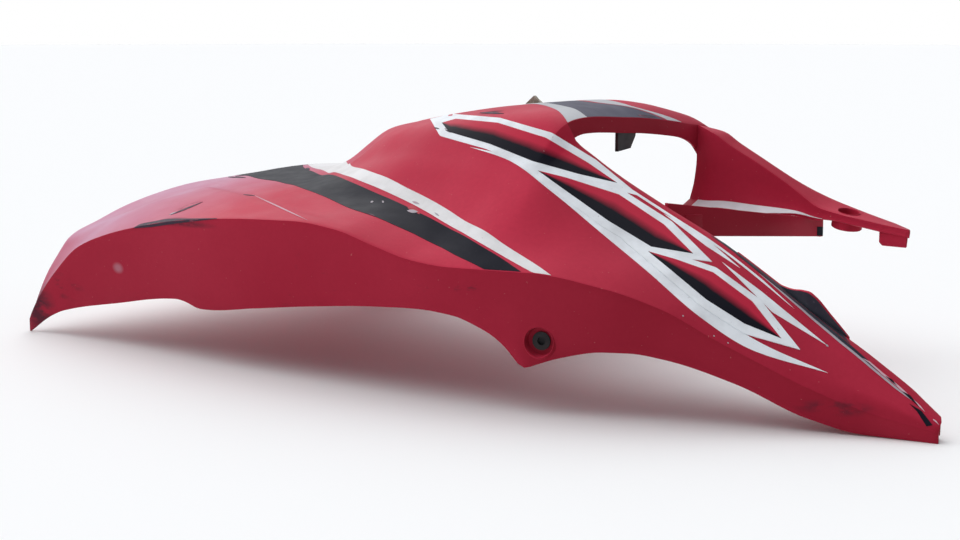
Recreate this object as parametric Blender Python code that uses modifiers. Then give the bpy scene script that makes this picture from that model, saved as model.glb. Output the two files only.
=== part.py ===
"""Front fairing panel: one thin moulded cowl with its small bracket, lug and grommet.

The panel lies on its two wing tips and on the tip of its beak. X runs from the
open wing end to the beak, Y across, Z up. The near half is at negative Y.
"""
import bmesh
import bpy
import numpy as np
from mathutils import Matrix, Vector

# Driving dimensions, metres
WALL = 0.0025
WING_END_X = -0.430
BAND_FRONT_X = 0.100
NOSE_X = 0.436
HALF_WIDTH = 0.254
RIDGE_Y = -0.090
HEM_TUCK = 0.006
HEM_FADE = 0.080
WALL_BULGE = 0.15
CROWN_FADE = 0.012

LIP_DEPTH = 0.0135
WEB_HOLLOW = 0.010
FLANGE_WIDTH = 0.012
FLANGE_FALL = 0.4
FLANGE_LEAST_WEB = 0.12
FLANGE_GROWTH = 3.0
ARM_END_SLANT = 0.011

FACET_WIDTH = 0.010
FACET_START_RUN = 0.030
FACET_REAR_SHARE = 0.35
FACET_WIDENS_X = 0.330
FACET_WIDENS_RUN = 0.060
NOSE_NARROWS_X = 0.415
NOSE_NARROWING = 0.4
NOSE_LIFT = 0.0025
NOSE_SLANT = 0.5
NOSE_SLANT_X = 0.380
FAR_FLANK_DROP = 0.045
FAR_FLANK_SPREAD = 0.030
FAR_FLANK_FOOT = 0.003

FIN_WALL = 0.0025
FIN_LEAN = 0.004
FIN_ROOT = 0.004
FIN_STEP = 0.012

TAB_X = 0.162
TAB_HEIGHT = 0.058
TAB_SINK = 0.0036
CUP_RADIUS = 0.0115
CUP_DEPTH = 0.0070
CUP_WALL = 0.0025
CUP_RIM_SINK = 0.0012
TAB_HOLE_RADIUS = 0.0050

BOSS_X = 0.2525
BOSS_RADIUS = 0.0135
BOSS_HEIGHT = 0.0145
BOSS_HOLE_RADIUS = 0.0095
BOSS_FLOOR = 0.0030
BOSS_RIM = 0.0005

CROSS_BAR_WALL = 0.0035
CROSS_BAR_POST = 0.016
POST_INSET = 0.0021

TONGUE_START_X = 0.2870
TONGUE_DEPTH = 0.0145
TONGUE_WALL = 0.0030
TONGUE_INSET = 0.0012
TONGUE_BEVEL = 0.0030

OVERLAP = 0.0010
TOOL_REACH = 0.0200
CLEARANCE = 0.0003

CLIP_Y = 0.0050
CLIP_WIDTH = 0.0310
CLIP_DROP = 0.0290
CLIP_WALL = 0.0030
CLIP_FOOT = 0.0120
CLIP_TOP_GAP = 0.0040
CLIP_TOE = (0.3, 0.0020)
CLIP_HEEL = (0.75, 0.0120)

LUG_X = -0.0030
LUG_Y = 0.0
LUG_LENGTH = 0.0180
LUG_RISE = 0.0070
LUG_WALL = 0.0030
LUG_GAP = 0.00045
LUG_PROFILE = [(0.55, 0.5), (0.1, 1.0), (-0.5, 0.4)]

GROMMET_WALL = 0.0014
GROMMET_FLANGE = 0.0026
GROMMET_HEAD = 0.0012

# Guide lines of the near half: station x, distance out from the middle plane, height
CREASE = [(-0.430, 0.254, 0.012), (-0.424, 0.254, 0.022), (-0.380, 0.254, 0.068),
          (-0.350, 0.254, 0.090), (-0.310, 0.253, 0.105), (-0.270, 0.253, 0.115),
          (-0.219, 0.253, 0.125), (-0.162, 0.252, 0.132), (-0.100, 0.250, 0.136),
          (-0.063, 0.248, 0.137), (-0.021, 0.246, 0.134), (0.019, 0.243, 0.124),
          (0.057, 0.239, 0.115), (0.090, 0.233, 0.112), (0.155, 0.216, 0.112),
          (0.211, 0.196, 0.103), (0.253, 0.176, 0.088), (0.283, 0.161, 0.070),
          (0.314, 0.146, 0.053), (0.347, 0.132, 0.036), (0.390, 0.115, 0.017),
          (0.436, 0.102, 0.006)]
LOWER_FLANK = [(-0.430, 0.220, 0.068), (-0.380, 0.204, 0.102), (-0.310, 0.190, 0.130),
               (-0.245, 0.180, 0.140), (-0.162, 0.170, 0.147), (-0.100, 0.165, 0.150),
               (-0.040, 0.165, 0.150), (0.020, 0.176, 0.143), (0.060, 0.188, 0.135),
               (0.100, 0.195, 0.132), (0.155, 0.186, 0.126), (0.211, 0.168, 0.115),
               (0.253, 0.152, 0.099), (0.314, 0.131, 0.066), (0.370, 0.113, 0.037),
               (0.436, 0.1005, 0.010)]
MID_FLANK = [(-0.430, 0.156, 0.105), (-0.360, 0.140, 0.124), (-0.300, 0.125, 0.140),
             (-0.245, 0.112, 0.146), (-0.200, 0.103, 0.151), (-0.162, 0.097, 0.160),
             (-0.100, 0.105, 0.176), (-0.040, 0.118, 0.183), (0.020, 0.130, 0.183),
             (0.060, 0.138, 0.180), (0.100, 0.142, 0.177), (0.155, 0.138, 0.153),
             (0.211, 0.126, 0.131), (0.253, 0.118, 0.115), (0.314, 0.108, 0.080),
             (0.370, 0.100, 0.047), (0.436, 0.0965, 0.0135)]
SHOULDER = [(-0.430, 0.075, 0.125), (-0.360, 0.070, 0.137), (-0.300, 0.062, 0.147),
            (-0.245, 0.055, 0.152), (-0.200, 0.050, 0.160), (-0.180, 0.050, 0.169),
            (-0.162, 0.052, 0.179), (-0.130, 0.057, 0.196), (-0.100, 0.062, 0.205),
            (-0.040, 0.075, 0.214), (0.020, 0.084, 0.220), (0.070, 0.089, 0.222),
            (0.100, 0.090, 0.217), (0.108, 0.090, 0.206), (0.124, 0.090, 0.196),
            (0.145, 0.090, 0.1835), (0.197, 0.090, 0.1555), (0.246, 0.090, 0.1320),
            (0.305, 0.090, 0.098), (0.361, 0.090, 0.064), (0.418, 0.090, 0.0255),
            (0.436, 0.090, 0.0155)]
CROWN = [(-0.430, 0.131), (-0.357, 0.143), (-0.300, 0.151), (-0.258, 0.155), (-0.243, 0.158),
         (-0.229, 0.165), (-0.200, 0.186), (-0.179, 0.197), (-0.159, 0.201), (-0.124, 0.207),
         (-0.077, 0.216), (-0.015, 0.2250), (0.040, 0.2290), (0.075, 0.2260), (0.100, 0.2175)]
HEM = [(-0.430, 0.000), (-0.400, 0.019), (-0.380, 0.027), (-0.300, 0.043), (-0.215, 0.0550),
       (-0.199, 0.0555), (-0.178, 0.0495), (-0.118, 0.0570), (-0.059, 0.0650), (0.014, 0.0730),
       (0.060, 0.0760), (0.089, 0.0740), (0.112, 0.0670), (0.124, 0.0608), (0.134, 0.0522),
       (0.149, 0.0365), (0.158, 0.0395), (0.175, 0.0465), (0.209, 0.0540), (0.227, 0.0545),
       (0.250, 0.0510), (0.299, 0.0340), (0.347, 0.0118), (0.385, 0.0025), (0.436, 0.0000)]

# Far half beside the band: station x, shoulder moved out and up, flank moved out and up
FAR_LEAN = [(0.000, 0.000, 0.0000, 0.000, 0.000), (0.040, 0.004, 0.0040, 0.006, 0.014),
            (0.060, 0.005, 0.0020, 0.010, 0.021), (0.080, 0.006, -0.0030, 0.012, 0.022),
            (0.100, 0.006, -0.0095, 0.010, 0.017)]

# Arm in front of the band: x, inner edge y z, outer edge y z, web depth, skirt depth
ARM = [(0.120, 0.1120, 0.1995, 0.1320, 0.2000, 0.064, 0.016),
       (0.137, 0.1140, 0.1890, 0.1320, 0.1905, 0.053, 0.016),
       (0.165, 0.1160, 0.1740, 0.1320, 0.1755, 0.039, 0.016),
       (0.190, 0.1160, 0.1600, 0.1330, 0.1615, 0.025, 0.014),
       (0.210, 0.1140, 0.1480, 0.1360, 0.1505, 0.013, 0.014),
       (0.230, 0.1110, 0.1370, 0.1390, 0.1415, 0.006, 0.008),
       (0.2525, 0.1100, 0.1330, 0.1400, 0.1355, 0.006, 0.006),
       (0.278, 0.1120, 0.1290, 0.1400, 0.1285, 0.006, 0.006),
       (0.309, 0.1140, 0.1240, 0.1400, 0.1210, 0.006, 0.006)]

# Fin on the beak's far edge: station x, rise above that edge
FIN = [(0.262, 0.0005), (0.300, 0.0008), (0.306, 0.0035), (0.324, 0.0110), (0.330, 0.0115),
       (0.345, 0.0050), (0.358, 0.0010)]

# Bar across the window's foot: x, y, top, foot at its ridge end and at its arm end
CROSS_BAR = [(0.196, -0.086, 0.1525, 0.1300), (0.221, 0.1360, 0.1225, 0.1080)]

# Side opening of the far half, seen along Y: it leaves the wing end and the roof
FAR_OPENING = [(-0.300, -0.010), (-0.285, 0.060), (-0.255, 0.112), (-0.215, 0.145),
               (-0.165, 0.166), (-0.100, 0.182), (0.000, 0.194)]
FAR_OPENING_TOP = 0.198
FAR_OPENING_Y = 0.060
FAR_OPENING_RUN = 0.0015

# Rows of the arm's web: share of its depth, bulge as a share of the hollow
WEB_ROWS = [(0.0, 0.0), (0.45, 0.1), (0.75, -0.25), (1.0, -1.0)]

# Stations where an edge turns sharply
CORNER_STATIONS = [-0.243, -0.199, -0.178, 0.134, 0.149, 0.158]

STEPS = 3
ARM_ROW = 2 * STEPS + 1
STATION_STEP = 0.024
ROUND_SIDES = 28

RED = (0.48, 0.022, 0.045, 1.0)
BLACK = (0.018, 0.018, 0.022, 1.0)
STEEL = (0.32, 0.27, 0.22, 1.0)


def smooth_curve(stations, values):
    """Return a curve through the values that never swings past them."""
    x = np.asarray(stations, float)
    y = np.asarray(values, float)
    step = np.diff(x)
    slope = np.diff(y) / step
    tangent = np.zeros_like(y)
    tangent[0] = slope[0]
    tangent[-1] = slope[-1]
    same = slope[:-1] * slope[1:] > 0
    left = 2 * step[1:] + step[:-1]
    right = step[1:] + 2 * step[:-1]
    safe_a = np.where(same, slope[:-1], 1.0)
    safe_b = np.where(same, slope[1:], 1.0)
    tangent[1:-1] = np.where(same, (left + right) / (left / safe_a + right / safe_b), 0.0)

    def at(position):
        p = np.clip(np.asarray(position, float), x[0], x[-1])
        i = np.clip(np.searchsorted(x, p) - 1, 0, len(x) - 2)
        t = (p - x[i]) / step[i]
        rise = (1 + 2 * t) * (1 - t) ** 2 * y[i] + t * t * (3 - 2 * t) * y[i + 1]
        turn = t * (1 - t) ** 2 * tangent[i] + t * t * (t - 1) * tangent[i + 1]
        return rise + turn * step[i]

    return at


def stretch(x):
    """Move a station with the wing end, the band front or the nose that it lies between."""
    drawn = [CREASE[0][0], 0.0, FAR_LEAN[-1][0], CREASE[-1][0]]
    return np.interp(x, drawn, [WING_END_X, 0.0, BAND_FRONT_X, NOSE_X])


def guide(points):
    """Split a guide line into its curves, one for each value after the station."""
    columns = np.array(points).T
    return [smooth_curve(stretch(columns[0]), column) for column in columns[1:]]


crease_out, crease_up = guide(CREASE)
lower_out, lower_up = guide(LOWER_FLANK)
mid_out, mid_up = guide(MID_FLANK)
shoulder_out, shoulder_up = guide(SHOULDER)
(crown_up,) = guide(CROWN)
(hem_up,) = guide(HEM)
(fin_rise,) = guide(FIN)
lean_curves = guide(FAR_LEAN)
arm_inner_y, arm_inner_z, arm_outer_y, arm_outer_z, arm_web, arm_skirt = guide(ARM)


def spread(x, out):
    """Scale a distance from the middle plane to the half width and the ridge place."""
    front = np.clip(x / BAND_FRONT_X, 0.0, 1.0)
    wide = HALF_WIDTH / CREASE[0][1]
    shift = -RIDGE_Y - SHOULDER[-1][1]
    return out * (wide + (1.0 - wide) * front) + shift * front


def flank_knots(x):
    """Near half of the section at each station: crease, lower, mid, shoulder, crown.

    In front of the band there is no crown, so its knot runs straight on past the ridge.
    """
    outs = [spread(x, f(x)) for f in (crease_out, lower_out, mid_out, shoulder_out)]
    ups = [f(x) for f in (crease_up, lower_up, mid_up, shoulder_up)]
    beak = np.clip((x - BAND_FRONT_X) / CROWN_FADE, 0.0, 1.0)
    outs.append(beak * (2.0 * outs[3] - outs[2]))
    ups.append(beak * (2.0 * ups[3] - ups[2]) + (1.0 - beak) * crown_up(x))
    return np.stack(outs, 1), np.stack(ups, 1)


def spline_rows(y, z, first, last):
    """Smooth rows through the knots first to last, with the tangents of their neighbours."""
    rows = []
    count = y.shape[1]
    for k in range(first, last):
        before = max(k - 1, 0)
        after = min(k + 2, count - 1)
        for s in range(STEPS):
            t = s / STEPS
            part = []
            for v in (y, z):
                a = 0.5 * (v[:, k + 1] - v[:, before]) * (1.0 if k else 2.0)
                b = 0.5 * (v[:, after] - v[:, k]) * (1.0 if k + 2 < count else 2.0)
                part.append((1 + 2 * t) * (1 - t) ** 2 * v[:, k] + t * t * (3 - 2 * t) * v[:, k + 1]
                            + t * (1 - t) ** 2 * a + t * t * (t - 1) * b)
            rows.append(part)
    rows.append([y[:, last], z[:, last]])
    rows = np.array(rows)
    return rows[:, 0].T, rows[:, 1].T


def grid_points(x, y, z):
    """Join station, across and height into one array of points."""
    return np.stack([np.broadcast_to(x, y.shape), y, z], -1)


def wall_below(x, y, z, inward):
    """Wall from an edge down to the hem: its half-way row and its hem row."""
    rear_fade = np.clip((x - WING_END_X) / HEM_FADE, 0.0, 1.0)
    nose_fade = np.clip((NOSE_X - x) / HEM_FADE, 0.0, 1.0)
    tuck = HEM_TUCK * rear_fade * nose_fade * inward
    hem_y = y + tuck
    hem_z = hem_up(x)
    return 0.5 * (y + hem_y) - WALL_BULGE * tuck, 0.5 * (z + hem_z), hem_y, hem_z


def near_patch(x):
    """Near side from its hem up the wall, over the crease and up to the shoulder line."""
    out, up = flank_knots(x)
    y, z = spline_rows(-out, up, 0, 3)
    mid_y, mid_z, hem_y, hem_z = wall_below(x, y[:, 0], z[:, 0], 1.0)
    return grid_points(x[:, None], np.column_stack([hem_y, mid_y, y]),
                       np.column_stack([hem_z, mid_z, z]))


def roof_patch(x):
    """Roof from the near shoulder over the crown and down the far side to its hem."""
    out, up = flank_knots(x)
    far_out = out[:, 3::-1].copy()
    far_up = up[:, 3::-1].copy()
    for column in (0, 1):
        far_out[:, column] += lean_curves[2 * column](x)
        far_up[:, column] += lean_curves[2 * column + 1](x)
    y, z = spline_rows(np.hstack([-out, far_out]), np.hstack([up, far_up]), 3, 8)
    mid_y, mid_z, hem_y, hem_z = wall_below(x, y[:, -1], z[:, -1], -1.0)
    return grid_points(x[:, None], np.column_stack([y, mid_y, hem_y]),
                       np.column_stack([z, mid_z, hem_z]))


def lip_patch(front_edge, corner):
    """Lip that turns down along the roof's front edge, from the far flank's own corner."""
    foot = front_edge - np.array([0.0, 0.0, LIP_DEPTH])
    foot[0] = corner
    return np.stack([front_edge, foot])


def arm_patch(x, front_edge):
    """Arm from its inner edge over its narrow top and down its outer skirt."""
    top = front_edge[ARM_ROW:ARM_ROW + 2]
    slant = np.zeros_like(x)
    slant[-1] = 0.5 * ARM_END_SLANT
    inner = np.stack([x + slant, arm_inner_y(x), arm_inner_z(x)], 1)
    outer = np.stack([x - slant, arm_outer_y(x), arm_outer_z(x)], 1)
    foot = outer - np.stack([0 * x, 0 * x, arm_skirt(x)], 1)
    start = np.vstack([top, top[-1] - np.array([0.0, 0.0, arm_skirt(x[0])])])
    return np.concatenate([start[None], np.stack([inner, outer, foot], 1)], 0)


def web_patch(arm):
    """Hollow web under the arm's inner edge, with the flange that closes it below."""
    inner = arm[:, 0]
    root = inner[0, 2] - inner[1, 2] + arm_web(inner[1, 0])
    depth = np.concatenate([[root], arm_web(inner[1:, 0])])
    full = depth / root
    rows = []
    for t, bulge in WEB_ROWS:
        side = WEB_HOLLOW * bulge * full
        rows.append(inner + np.stack([0 * depth, side, -depth * t], 1))
    reach = FLANGE_WIDTH * np.clip((full - FLANGE_LEAST_WEB) * FLANGE_GROWTH, 0.0, 1.0)
    rows.append(rows[-1] + np.stack([0 * depth, -reach, -FLANGE_FALL * reach], 1))
    return np.stack(rows, 1)


def far_edge(x):
    """Ridge line of the beak and the far edge of its narrow centre facet."""
    fade = np.clip((x - FACET_WIDENS_X) / FACET_WIDENS_RUN, 0.0, 1.0)
    nose = np.clip((x - NOSE_NARROWS_X) / (NOSE_X - NOSE_NARROWS_X), 0.0, 1.0)
    start = np.clip((x - BAND_FRONT_X) / FACET_START_RUN, 0.0, 1.0)
    share = FACET_REAR_SHARE + (1.0 - FACET_REAR_SHARE) * fade
    width = FACET_WIDTH * start * share * (1.0 - NOSE_NARROWING * nose)
    ridge = np.stack([x, np.full_like(x, RIDGE_Y), shoulder_up(x)], 1)
    return ridge, ridge + np.stack([0 * x, width, NOSE_LIFT * nose], 1)


def return_patch(x):
    """Beak's narrow centre facet and its far flank, with the nose cut off at a slant."""
    ridge, edge = far_edge(x)
    drop = np.minimum(FAR_FLANK_DROP, edge[:, 2] - FAR_FLANK_FOOT)
    turn = drop / FAR_FLANK_DROP
    reach = FAR_FLANK_SPREAD * turn ** 2
    share = LIP_DEPTH / FAR_FLANK_DROP
    middle = edge + np.stack([0 * x, share * reach, -share * drop], 1)
    foot = edge + np.stack([0 * x, reach, -drop], 1)
    patch = np.stack([ridge, edge, middle, foot], 1)
    near_nose = np.clip((x - NOSE_SLANT_X) / (NOSE_X - NOSE_SLANT_X), 0.0, 1.0)[:, None]
    patch[..., 0] -= NOSE_SLANT * (patch[..., 1] - RIDGE_Y) * near_nose
    return patch


def stations(first, last, spacing, corners):
    """Evenly spaced stations that also stop at the named corners."""
    stops = [first] + [c for c in sorted(corners) if first < c < last] + [last]
    values = []
    for a, b in zip(stops[:-1], stops[1:]):
        count = max(1, round((b - a) / spacing))
        values += list(np.linspace(a, b, count + 1)[:-1])
    return np.array(values + [last])


def add_grid(points, faces, grid, flip):
    """Append one grid of points and its four-sided faces."""
    first = len(points)
    rows, columns = grid.shape[:2]
    points.extend(map(tuple, grid.reshape(-1, 3)))
    for i in range(rows - 1):
        for j in range(columns - 1):
            a = first + i * columns + j
            quad = (a, a + columns, a + columns + 1, a + 1)
            faces.append(quad[::-1] if flip else quad)


def surface_object(name, grids, collection, thickness, offset):
    """Wall made of several open grids that share their borders."""
    points = []
    faces = []
    for grid, flip in grids:
        add_grid(points, faces, grid, flip)
    mesh = bpy.data.meshes.new(name)
    mesh.from_pydata(points, [], faces)
    obj = bpy.data.objects.new(name, mesh)
    collection.objects.link(obj)
    weld = obj.modifiers.new("weld", "WELD")
    weld.merge_threshold = 0.00005
    wall = obj.modifiers.new("wall", "SOLIDIFY")
    wall.thickness = thickness
    wall.offset = offset
    wall.use_even_offset = False
    apply_modifiers(obj)
    return obj


def apply_modifiers(obj):
    """Turn the evaluated shape into the object's own mesh."""
    graph = bpy.context.evaluated_depsgraph_get()
    mesh = bpy.data.meshes.new_from_object(obj.evaluated_get(graph))
    obj.modifiers.clear()
    obj.data = mesh


def add_boolean(target, other, operation):
    """Join or cut with an exact boolean, and keep the tool out of the finished object."""
    modifier = target.modifiers.new(operation.lower(), "BOOLEAN")
    modifier.operation = operation
    modifier.solver = "EXACT"
    modifier.object = other
    other.hide_render = True
    other.display_type = "WIRE"


def cylinder(name, collection, radius, low, high, centre, axis):
    """Closed cylinder on an axis through the centre, from low to high along it."""
    work = bmesh.new()
    bmesh.ops.create_cone(work, cap_ends=True, segments=ROUND_SIDES, radius1=radius,
                          radius2=radius, depth=high - low)
    mesh = bpy.data.meshes.new(name)
    work.to_mesh(mesh)
    work.free()
    obj = bpy.data.objects.new(name, mesh)
    collection.objects.link(obj)
    axis = Vector(axis).normalized()
    obj.location = Vector(centre) + axis * 0.5 * (low + high)
    obj.rotation_mode = "QUATERNION"
    obj.rotation_quaternion = axis.to_track_quat("Z", "Y")
    return obj


def plate(name, collection, outline, thickness, origin, along, up):
    """Closed plate: a flat filled outline, centred on the plane through the origin."""
    curve = bpy.data.curves.new(name, "CURVE")
    curve.dimensions = "2D"
    curve.fill_mode = "BOTH"
    curve.extrude = 0.5 * thickness
    line = curve.splines.new("POLY")
    line.points.add(len(outline) - 1)
    for point, (u, v) in zip(line.points, outline):
        point.co = (u, v, 0.0, 1.0)
    line.use_cyclic_u = True
    flat = bpy.data.objects.new(name, curve)
    collection.objects.link(flat)
    graph = bpy.context.evaluated_depsgraph_get()
    mesh = bpy.data.meshes.new_from_object(flat.evaluated_get(graph))
    bpy.data.objects.remove(flat)
    work = bmesh.new()
    work.from_mesh(mesh)
    bmesh.ops.remove_doubles(work, verts=work.verts, dist=0.00001)
    work.to_mesh(mesh)
    work.free()
    obj = bpy.data.objects.new(name, mesh)
    collection.objects.link(obj)
    along = Vector(along).normalized()
    up = Vector(up).normalized()
    turn = Matrix((along, up, along.cross(up))).transposed().to_4x4()
    obj.matrix_world = Matrix.Translation(Vector(origin)) @ turn
    return obj


def material(name, colour, roughness, metallic=0.0):
    """Principled material with one colour."""
    mat = bpy.data.materials.new(name)
    mat.use_nodes = True
    shader = mat.node_tree.nodes["Principled BSDF"]
    shader.inputs["Base Color"].default_value = colour
    shader.inputs["Roughness"].default_value = roughness
    shader.inputs["Metallic"].default_value = metallic
    return mat


def wall_normal(x):
    """Outward direction of the near wall at a station, level with the floor."""
    step = 0.01
    across = spread(x + step, crease_out(x + step)) - spread(x - step, crease_out(x - step))
    return Vector((-across, -2.0 * step, 0.0)).normalized()


def tab_place():
    """Point on the near wall at the middle of the tab."""
    y = -spread(TAB_X, crease_out(TAB_X)) + TAB_SINK
    return Vector((TAB_X, y, TAB_HEIGHT))


def boss_axis():
    """Direction out of the arm's top at the boss."""
    reach = 0.02
    along = Vector((2 * reach, 0.0, arm_inner_z(BOSS_X + reach) - arm_inner_z(BOSS_X - reach)))
    across = Vector((0.0, arm_outer_y(BOSS_X) - arm_inner_y(BOSS_X),
                     arm_outer_z(BOSS_X) - arm_inner_z(BOSS_X)))
    return along.cross(across).normalized()


def boss_place():
    """Middle of the arm's top at the boss."""
    y = 0.5 * (arm_inner_y(BOSS_X) + arm_outer_y(BOSS_X))
    z = 0.5 * (arm_inner_z(BOSS_X) + arm_outer_z(BOSS_X))
    return Vector((BOSS_X, y, z))


def add_cross_bar(cutters):
    """Bar between the beak's ridge and the arm, and the post that ties it to the arm."""
    (x0, y0, top0, foot0), (x1, y1, top1, foot1) = CROSS_BAR
    along = Vector((x1 - x0, y1 - y0, 0.0))
    length = along.length
    bar = plate("cross_bar", cutters, [(0.0, foot0), (length, foot1), (length, top1), (0.0, top0)],
                CROSS_BAR_WALL, (x0, y0, 0.0), along, (0.0, 0.0, 1.0))
    top = float(arm_outer_z(x1)) - 0.5 * WALL
    rear = -CROSS_BAR_POST
    post = plate("bar_post", cutters, [(rear, foot1), (OVERLAP, foot1), (OVERLAP, top), (rear, top)],
                 CROSS_BAR_WALL, (x1, y1 - POST_INSET, 0.0), (1.0, 0.0, 0.0), (0.0, 0.0, 1.0))
    return [bar, post]


def add_tongue(cutters):
    """Tongue that hangs from the inner edge at the arm's end."""
    end = ARM[-1][0]
    y = float(arm_inner_y(end)) + TONGUE_INSET
    top = float(arm_inner_z(end)) - OVERLAP
    start_top = float(arm_inner_z(TONGUE_START_X)) - OVERLAP
    foot = top - TONGUE_DEPTH
    outline = [(TONGUE_START_X, start_top), (TONGUE_START_X, foot + TONGUE_BEVEL),
               (TONGUE_START_X + TONGUE_BEVEL, foot), (end + TONGUE_BEVEL, foot),
               (end + TONGUE_BEVEL + OVERLAP, top)]
    return plate("arm_tongue", cutters, outline, TONGUE_WALL, (0.0, y, 0.0), (1.0, 0.0, 0.0),
                 (0.0, 0.0, 1.0))


def add_fin(cutters):
    """Thin fin that stands on the far edge of the beak's centre facet."""
    x = stations(FIN[0][0], FIN[-1][0], FIN_STEP, [row[0] for row in FIN])
    edge = far_edge(x)[1]
    root = edge - np.array([0.0, 0.0, FIN_ROOT])
    rise = fin_rise(x)
    top = edge + np.stack([0 * x, -FIN_LEAN * rise / rise.max(), rise], 1)
    return surface_object("beak_fin", [(np.stack([root, top], 1), False)], cutters, FIN_WALL, -1.0)


def shell_additions(cutters):
    """Solids that the moulding holds besides its skin."""
    cup = cylinder("tab_cup", cutters, CUP_RADIUS + CUP_WALL, -CUP_DEPTH - CUP_WALL, -CUP_RIM_SINK,
                   tab_place(), wall_normal(TAB_X))
    boss = cylinder("arm_boss", cutters, BOSS_RADIUS, -BOSS_HEIGHT, BOSS_RIM, boss_place(), boss_axis())
    return [cup, boss, add_fin(cutters), add_tongue(cutters)] + add_cross_bar(cutters)


def shell_cutters(cutters):
    """Tools that open the far side, the tab cup and the arm boss."""
    front = BAND_FRONT_X + FAR_OPENING_RUN
    side = FAR_OPENING + [(front, FAR_OPENING_TOP), (front, FAR_OPENING[0][1])]
    opening = plate("far_side_opening", cutters, side, HALF_WIDTH,
                    (0.0, FAR_OPENING_Y + 0.5 * HALF_WIDTH, 0.0), (1.0, 0.0, 0.0), (0.0, 0.0, 1.0))
    tab = tab_place()
    out = wall_normal(TAB_X)
    cup = cylinder("tab_cup_bore", cutters, CUP_RADIUS, -CUP_DEPTH, TOOL_REACH, tab, out)
    hole = cylinder("tab_hole", cutters, TAB_HOLE_RADIUS, -TOOL_REACH, 0.0, tab, out)
    boss = cylinder("arm_boss_bore", cutters, BOSS_HOLE_RADIUS, BOSS_FLOOR - BOSS_HEIGHT, TOOL_REACH,
                    boss_place(), boss_axis())
    return [opening, cup, hole, boss]


def build_shell(parts, cutters):
    """The moulding: skin, lip, arm, beak, cross bar, boss and tab cup in one solid."""
    rear = stations(WING_END_X, BAND_FRONT_X, STATION_STEP, CORNER_STATIONS)
    front = stations(BAND_FRONT_X, NOSE_X, STATION_STEP, CORNER_STATIONS)
    roof = roof_patch(rear)
    flank = return_patch(front)
    front_edge = roof[-1]
    arm = arm_patch(np.array([row[0] for row in ARM]), front_edge)
    grids = [(near_patch(np.concatenate([rear, front[1:]])), False), (roof, False),
             (lip_patch(front_edge[:ARM_ROW + 1], flank[0, 2]), False), (arm, False),
             (web_patch(arm), True), (flank, False)]
    shell = surface_object("fairing_shell", grids, parts, WALL, -1.0)
    for extra in shell_additions(cutters):
        add_boolean(shell, extra, "UNION")
    for cutter in shell_cutters(cutters):
        add_boolean(shell, cutter, "DIFFERENCE")
    return shell


def build_clip(parts, cutters):
    """Black bracket that hangs behind the lip: a foot under the roof and a tapered leg."""
    x = BAND_FRONT_X - WALL - CLEARANCE - 0.5 * CLIP_WALL
    edge = roof_patch(np.array([BAND_FRONT_X]))[0]
    order = np.argsort(edge[:, 1])
    roof_z = float(np.interp(CLIP_Y, edge[order, 1], edge[order, 2]))
    top = roof_z - WALL - CLIP_TOP_GAP
    foot = roof_z - CLIP_DROP
    half = 0.5 * CLIP_WIDTH
    leg = plate("window_clip", parts,
                [(CLIP_Y - half, top), (CLIP_Y - half, foot),
                 (CLIP_Y + CLIP_TOE[0] * half, foot + CLIP_TOE[1]),
                 (CLIP_Y + CLIP_HEEL[0] * half, foot + CLIP_HEEL[1]), (CLIP_Y + half, top)],
                CLIP_WALL, (x, 0.0, 0.0), (0.0, 1.0, 0.0), (0.0, 0.0, 1.0))
    flat = plate("clip_foot", cutters,
                 [(-CLIP_FOOT, top - CLIP_WALL), (0.0, top - CLIP_WALL), (0.0, top), (-CLIP_FOOT, top)],
                 CLIP_WIDTH, (x, CLIP_Y, 0.0), (1.0, 0.0, 0.0), (0.0, 0.0, 1.0))
    add_boolean(leg, flat, "UNION")
    return leg


def build_lug(parts):
    """Folded metal lug whose pointed tip stands on the hood's crown."""
    half = 0.5 * LUG_LENGTH
    rear = float(crown_up(LUG_X - half)) + LUG_GAP
    front = float(crown_up(LUG_X + half)) + LUG_GAP
    middle = 0.5 * (rear + front)
    top = [(along * half, middle + rise * LUG_RISE) for along, rise in LUG_PROFILE]
    return plate("hood_lug", parts, [(-half, rear), (half, front)] + top, LUG_WALL,
                 (LUG_X, LUG_Y, 0.0), (1.0, 0.0, 0.0), (0.0, 0.0, 1.0))


def build_grommet(parts, cutters):
    """Rubber grommet in the tab hole: a sleeve with a thin head on the cup's floor."""
    out = wall_normal(TAB_X)
    floor = tab_place() - out * CUP_DEPTH
    sleeve_radius = TAB_HOLE_RADIUS - CLEARANCE
    sleeve = cylinder("tab_grommet", parts, sleeve_radius, CLEARANCE - CUP_WALL,
                      CLEARANCE + 0.5 * GROMMET_HEAD, floor, out)
    head = cylinder("grommet_head", cutters, sleeve_radius + GROMMET_FLANGE, CLEARANCE,
                    CLEARANCE + GROMMET_HEAD, floor, out)
    bore = cylinder("grommet_bore", cutters, sleeve_radius - GROMMET_WALL, -TOOL_REACH, TOOL_REACH,
                    floor, out)
    add_boolean(sleeve, head, "UNION")
    add_boolean(sleeve, bore, "DIFFERENCE")
    return sleeve


def shade_round(obj):
    """Shade the long curves smooth and keep the moulded edges sharp."""
    obj.data.shade_smooth()
    obj.data.set_sharp_from_angle(angle=np.radians(32.0))


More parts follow.
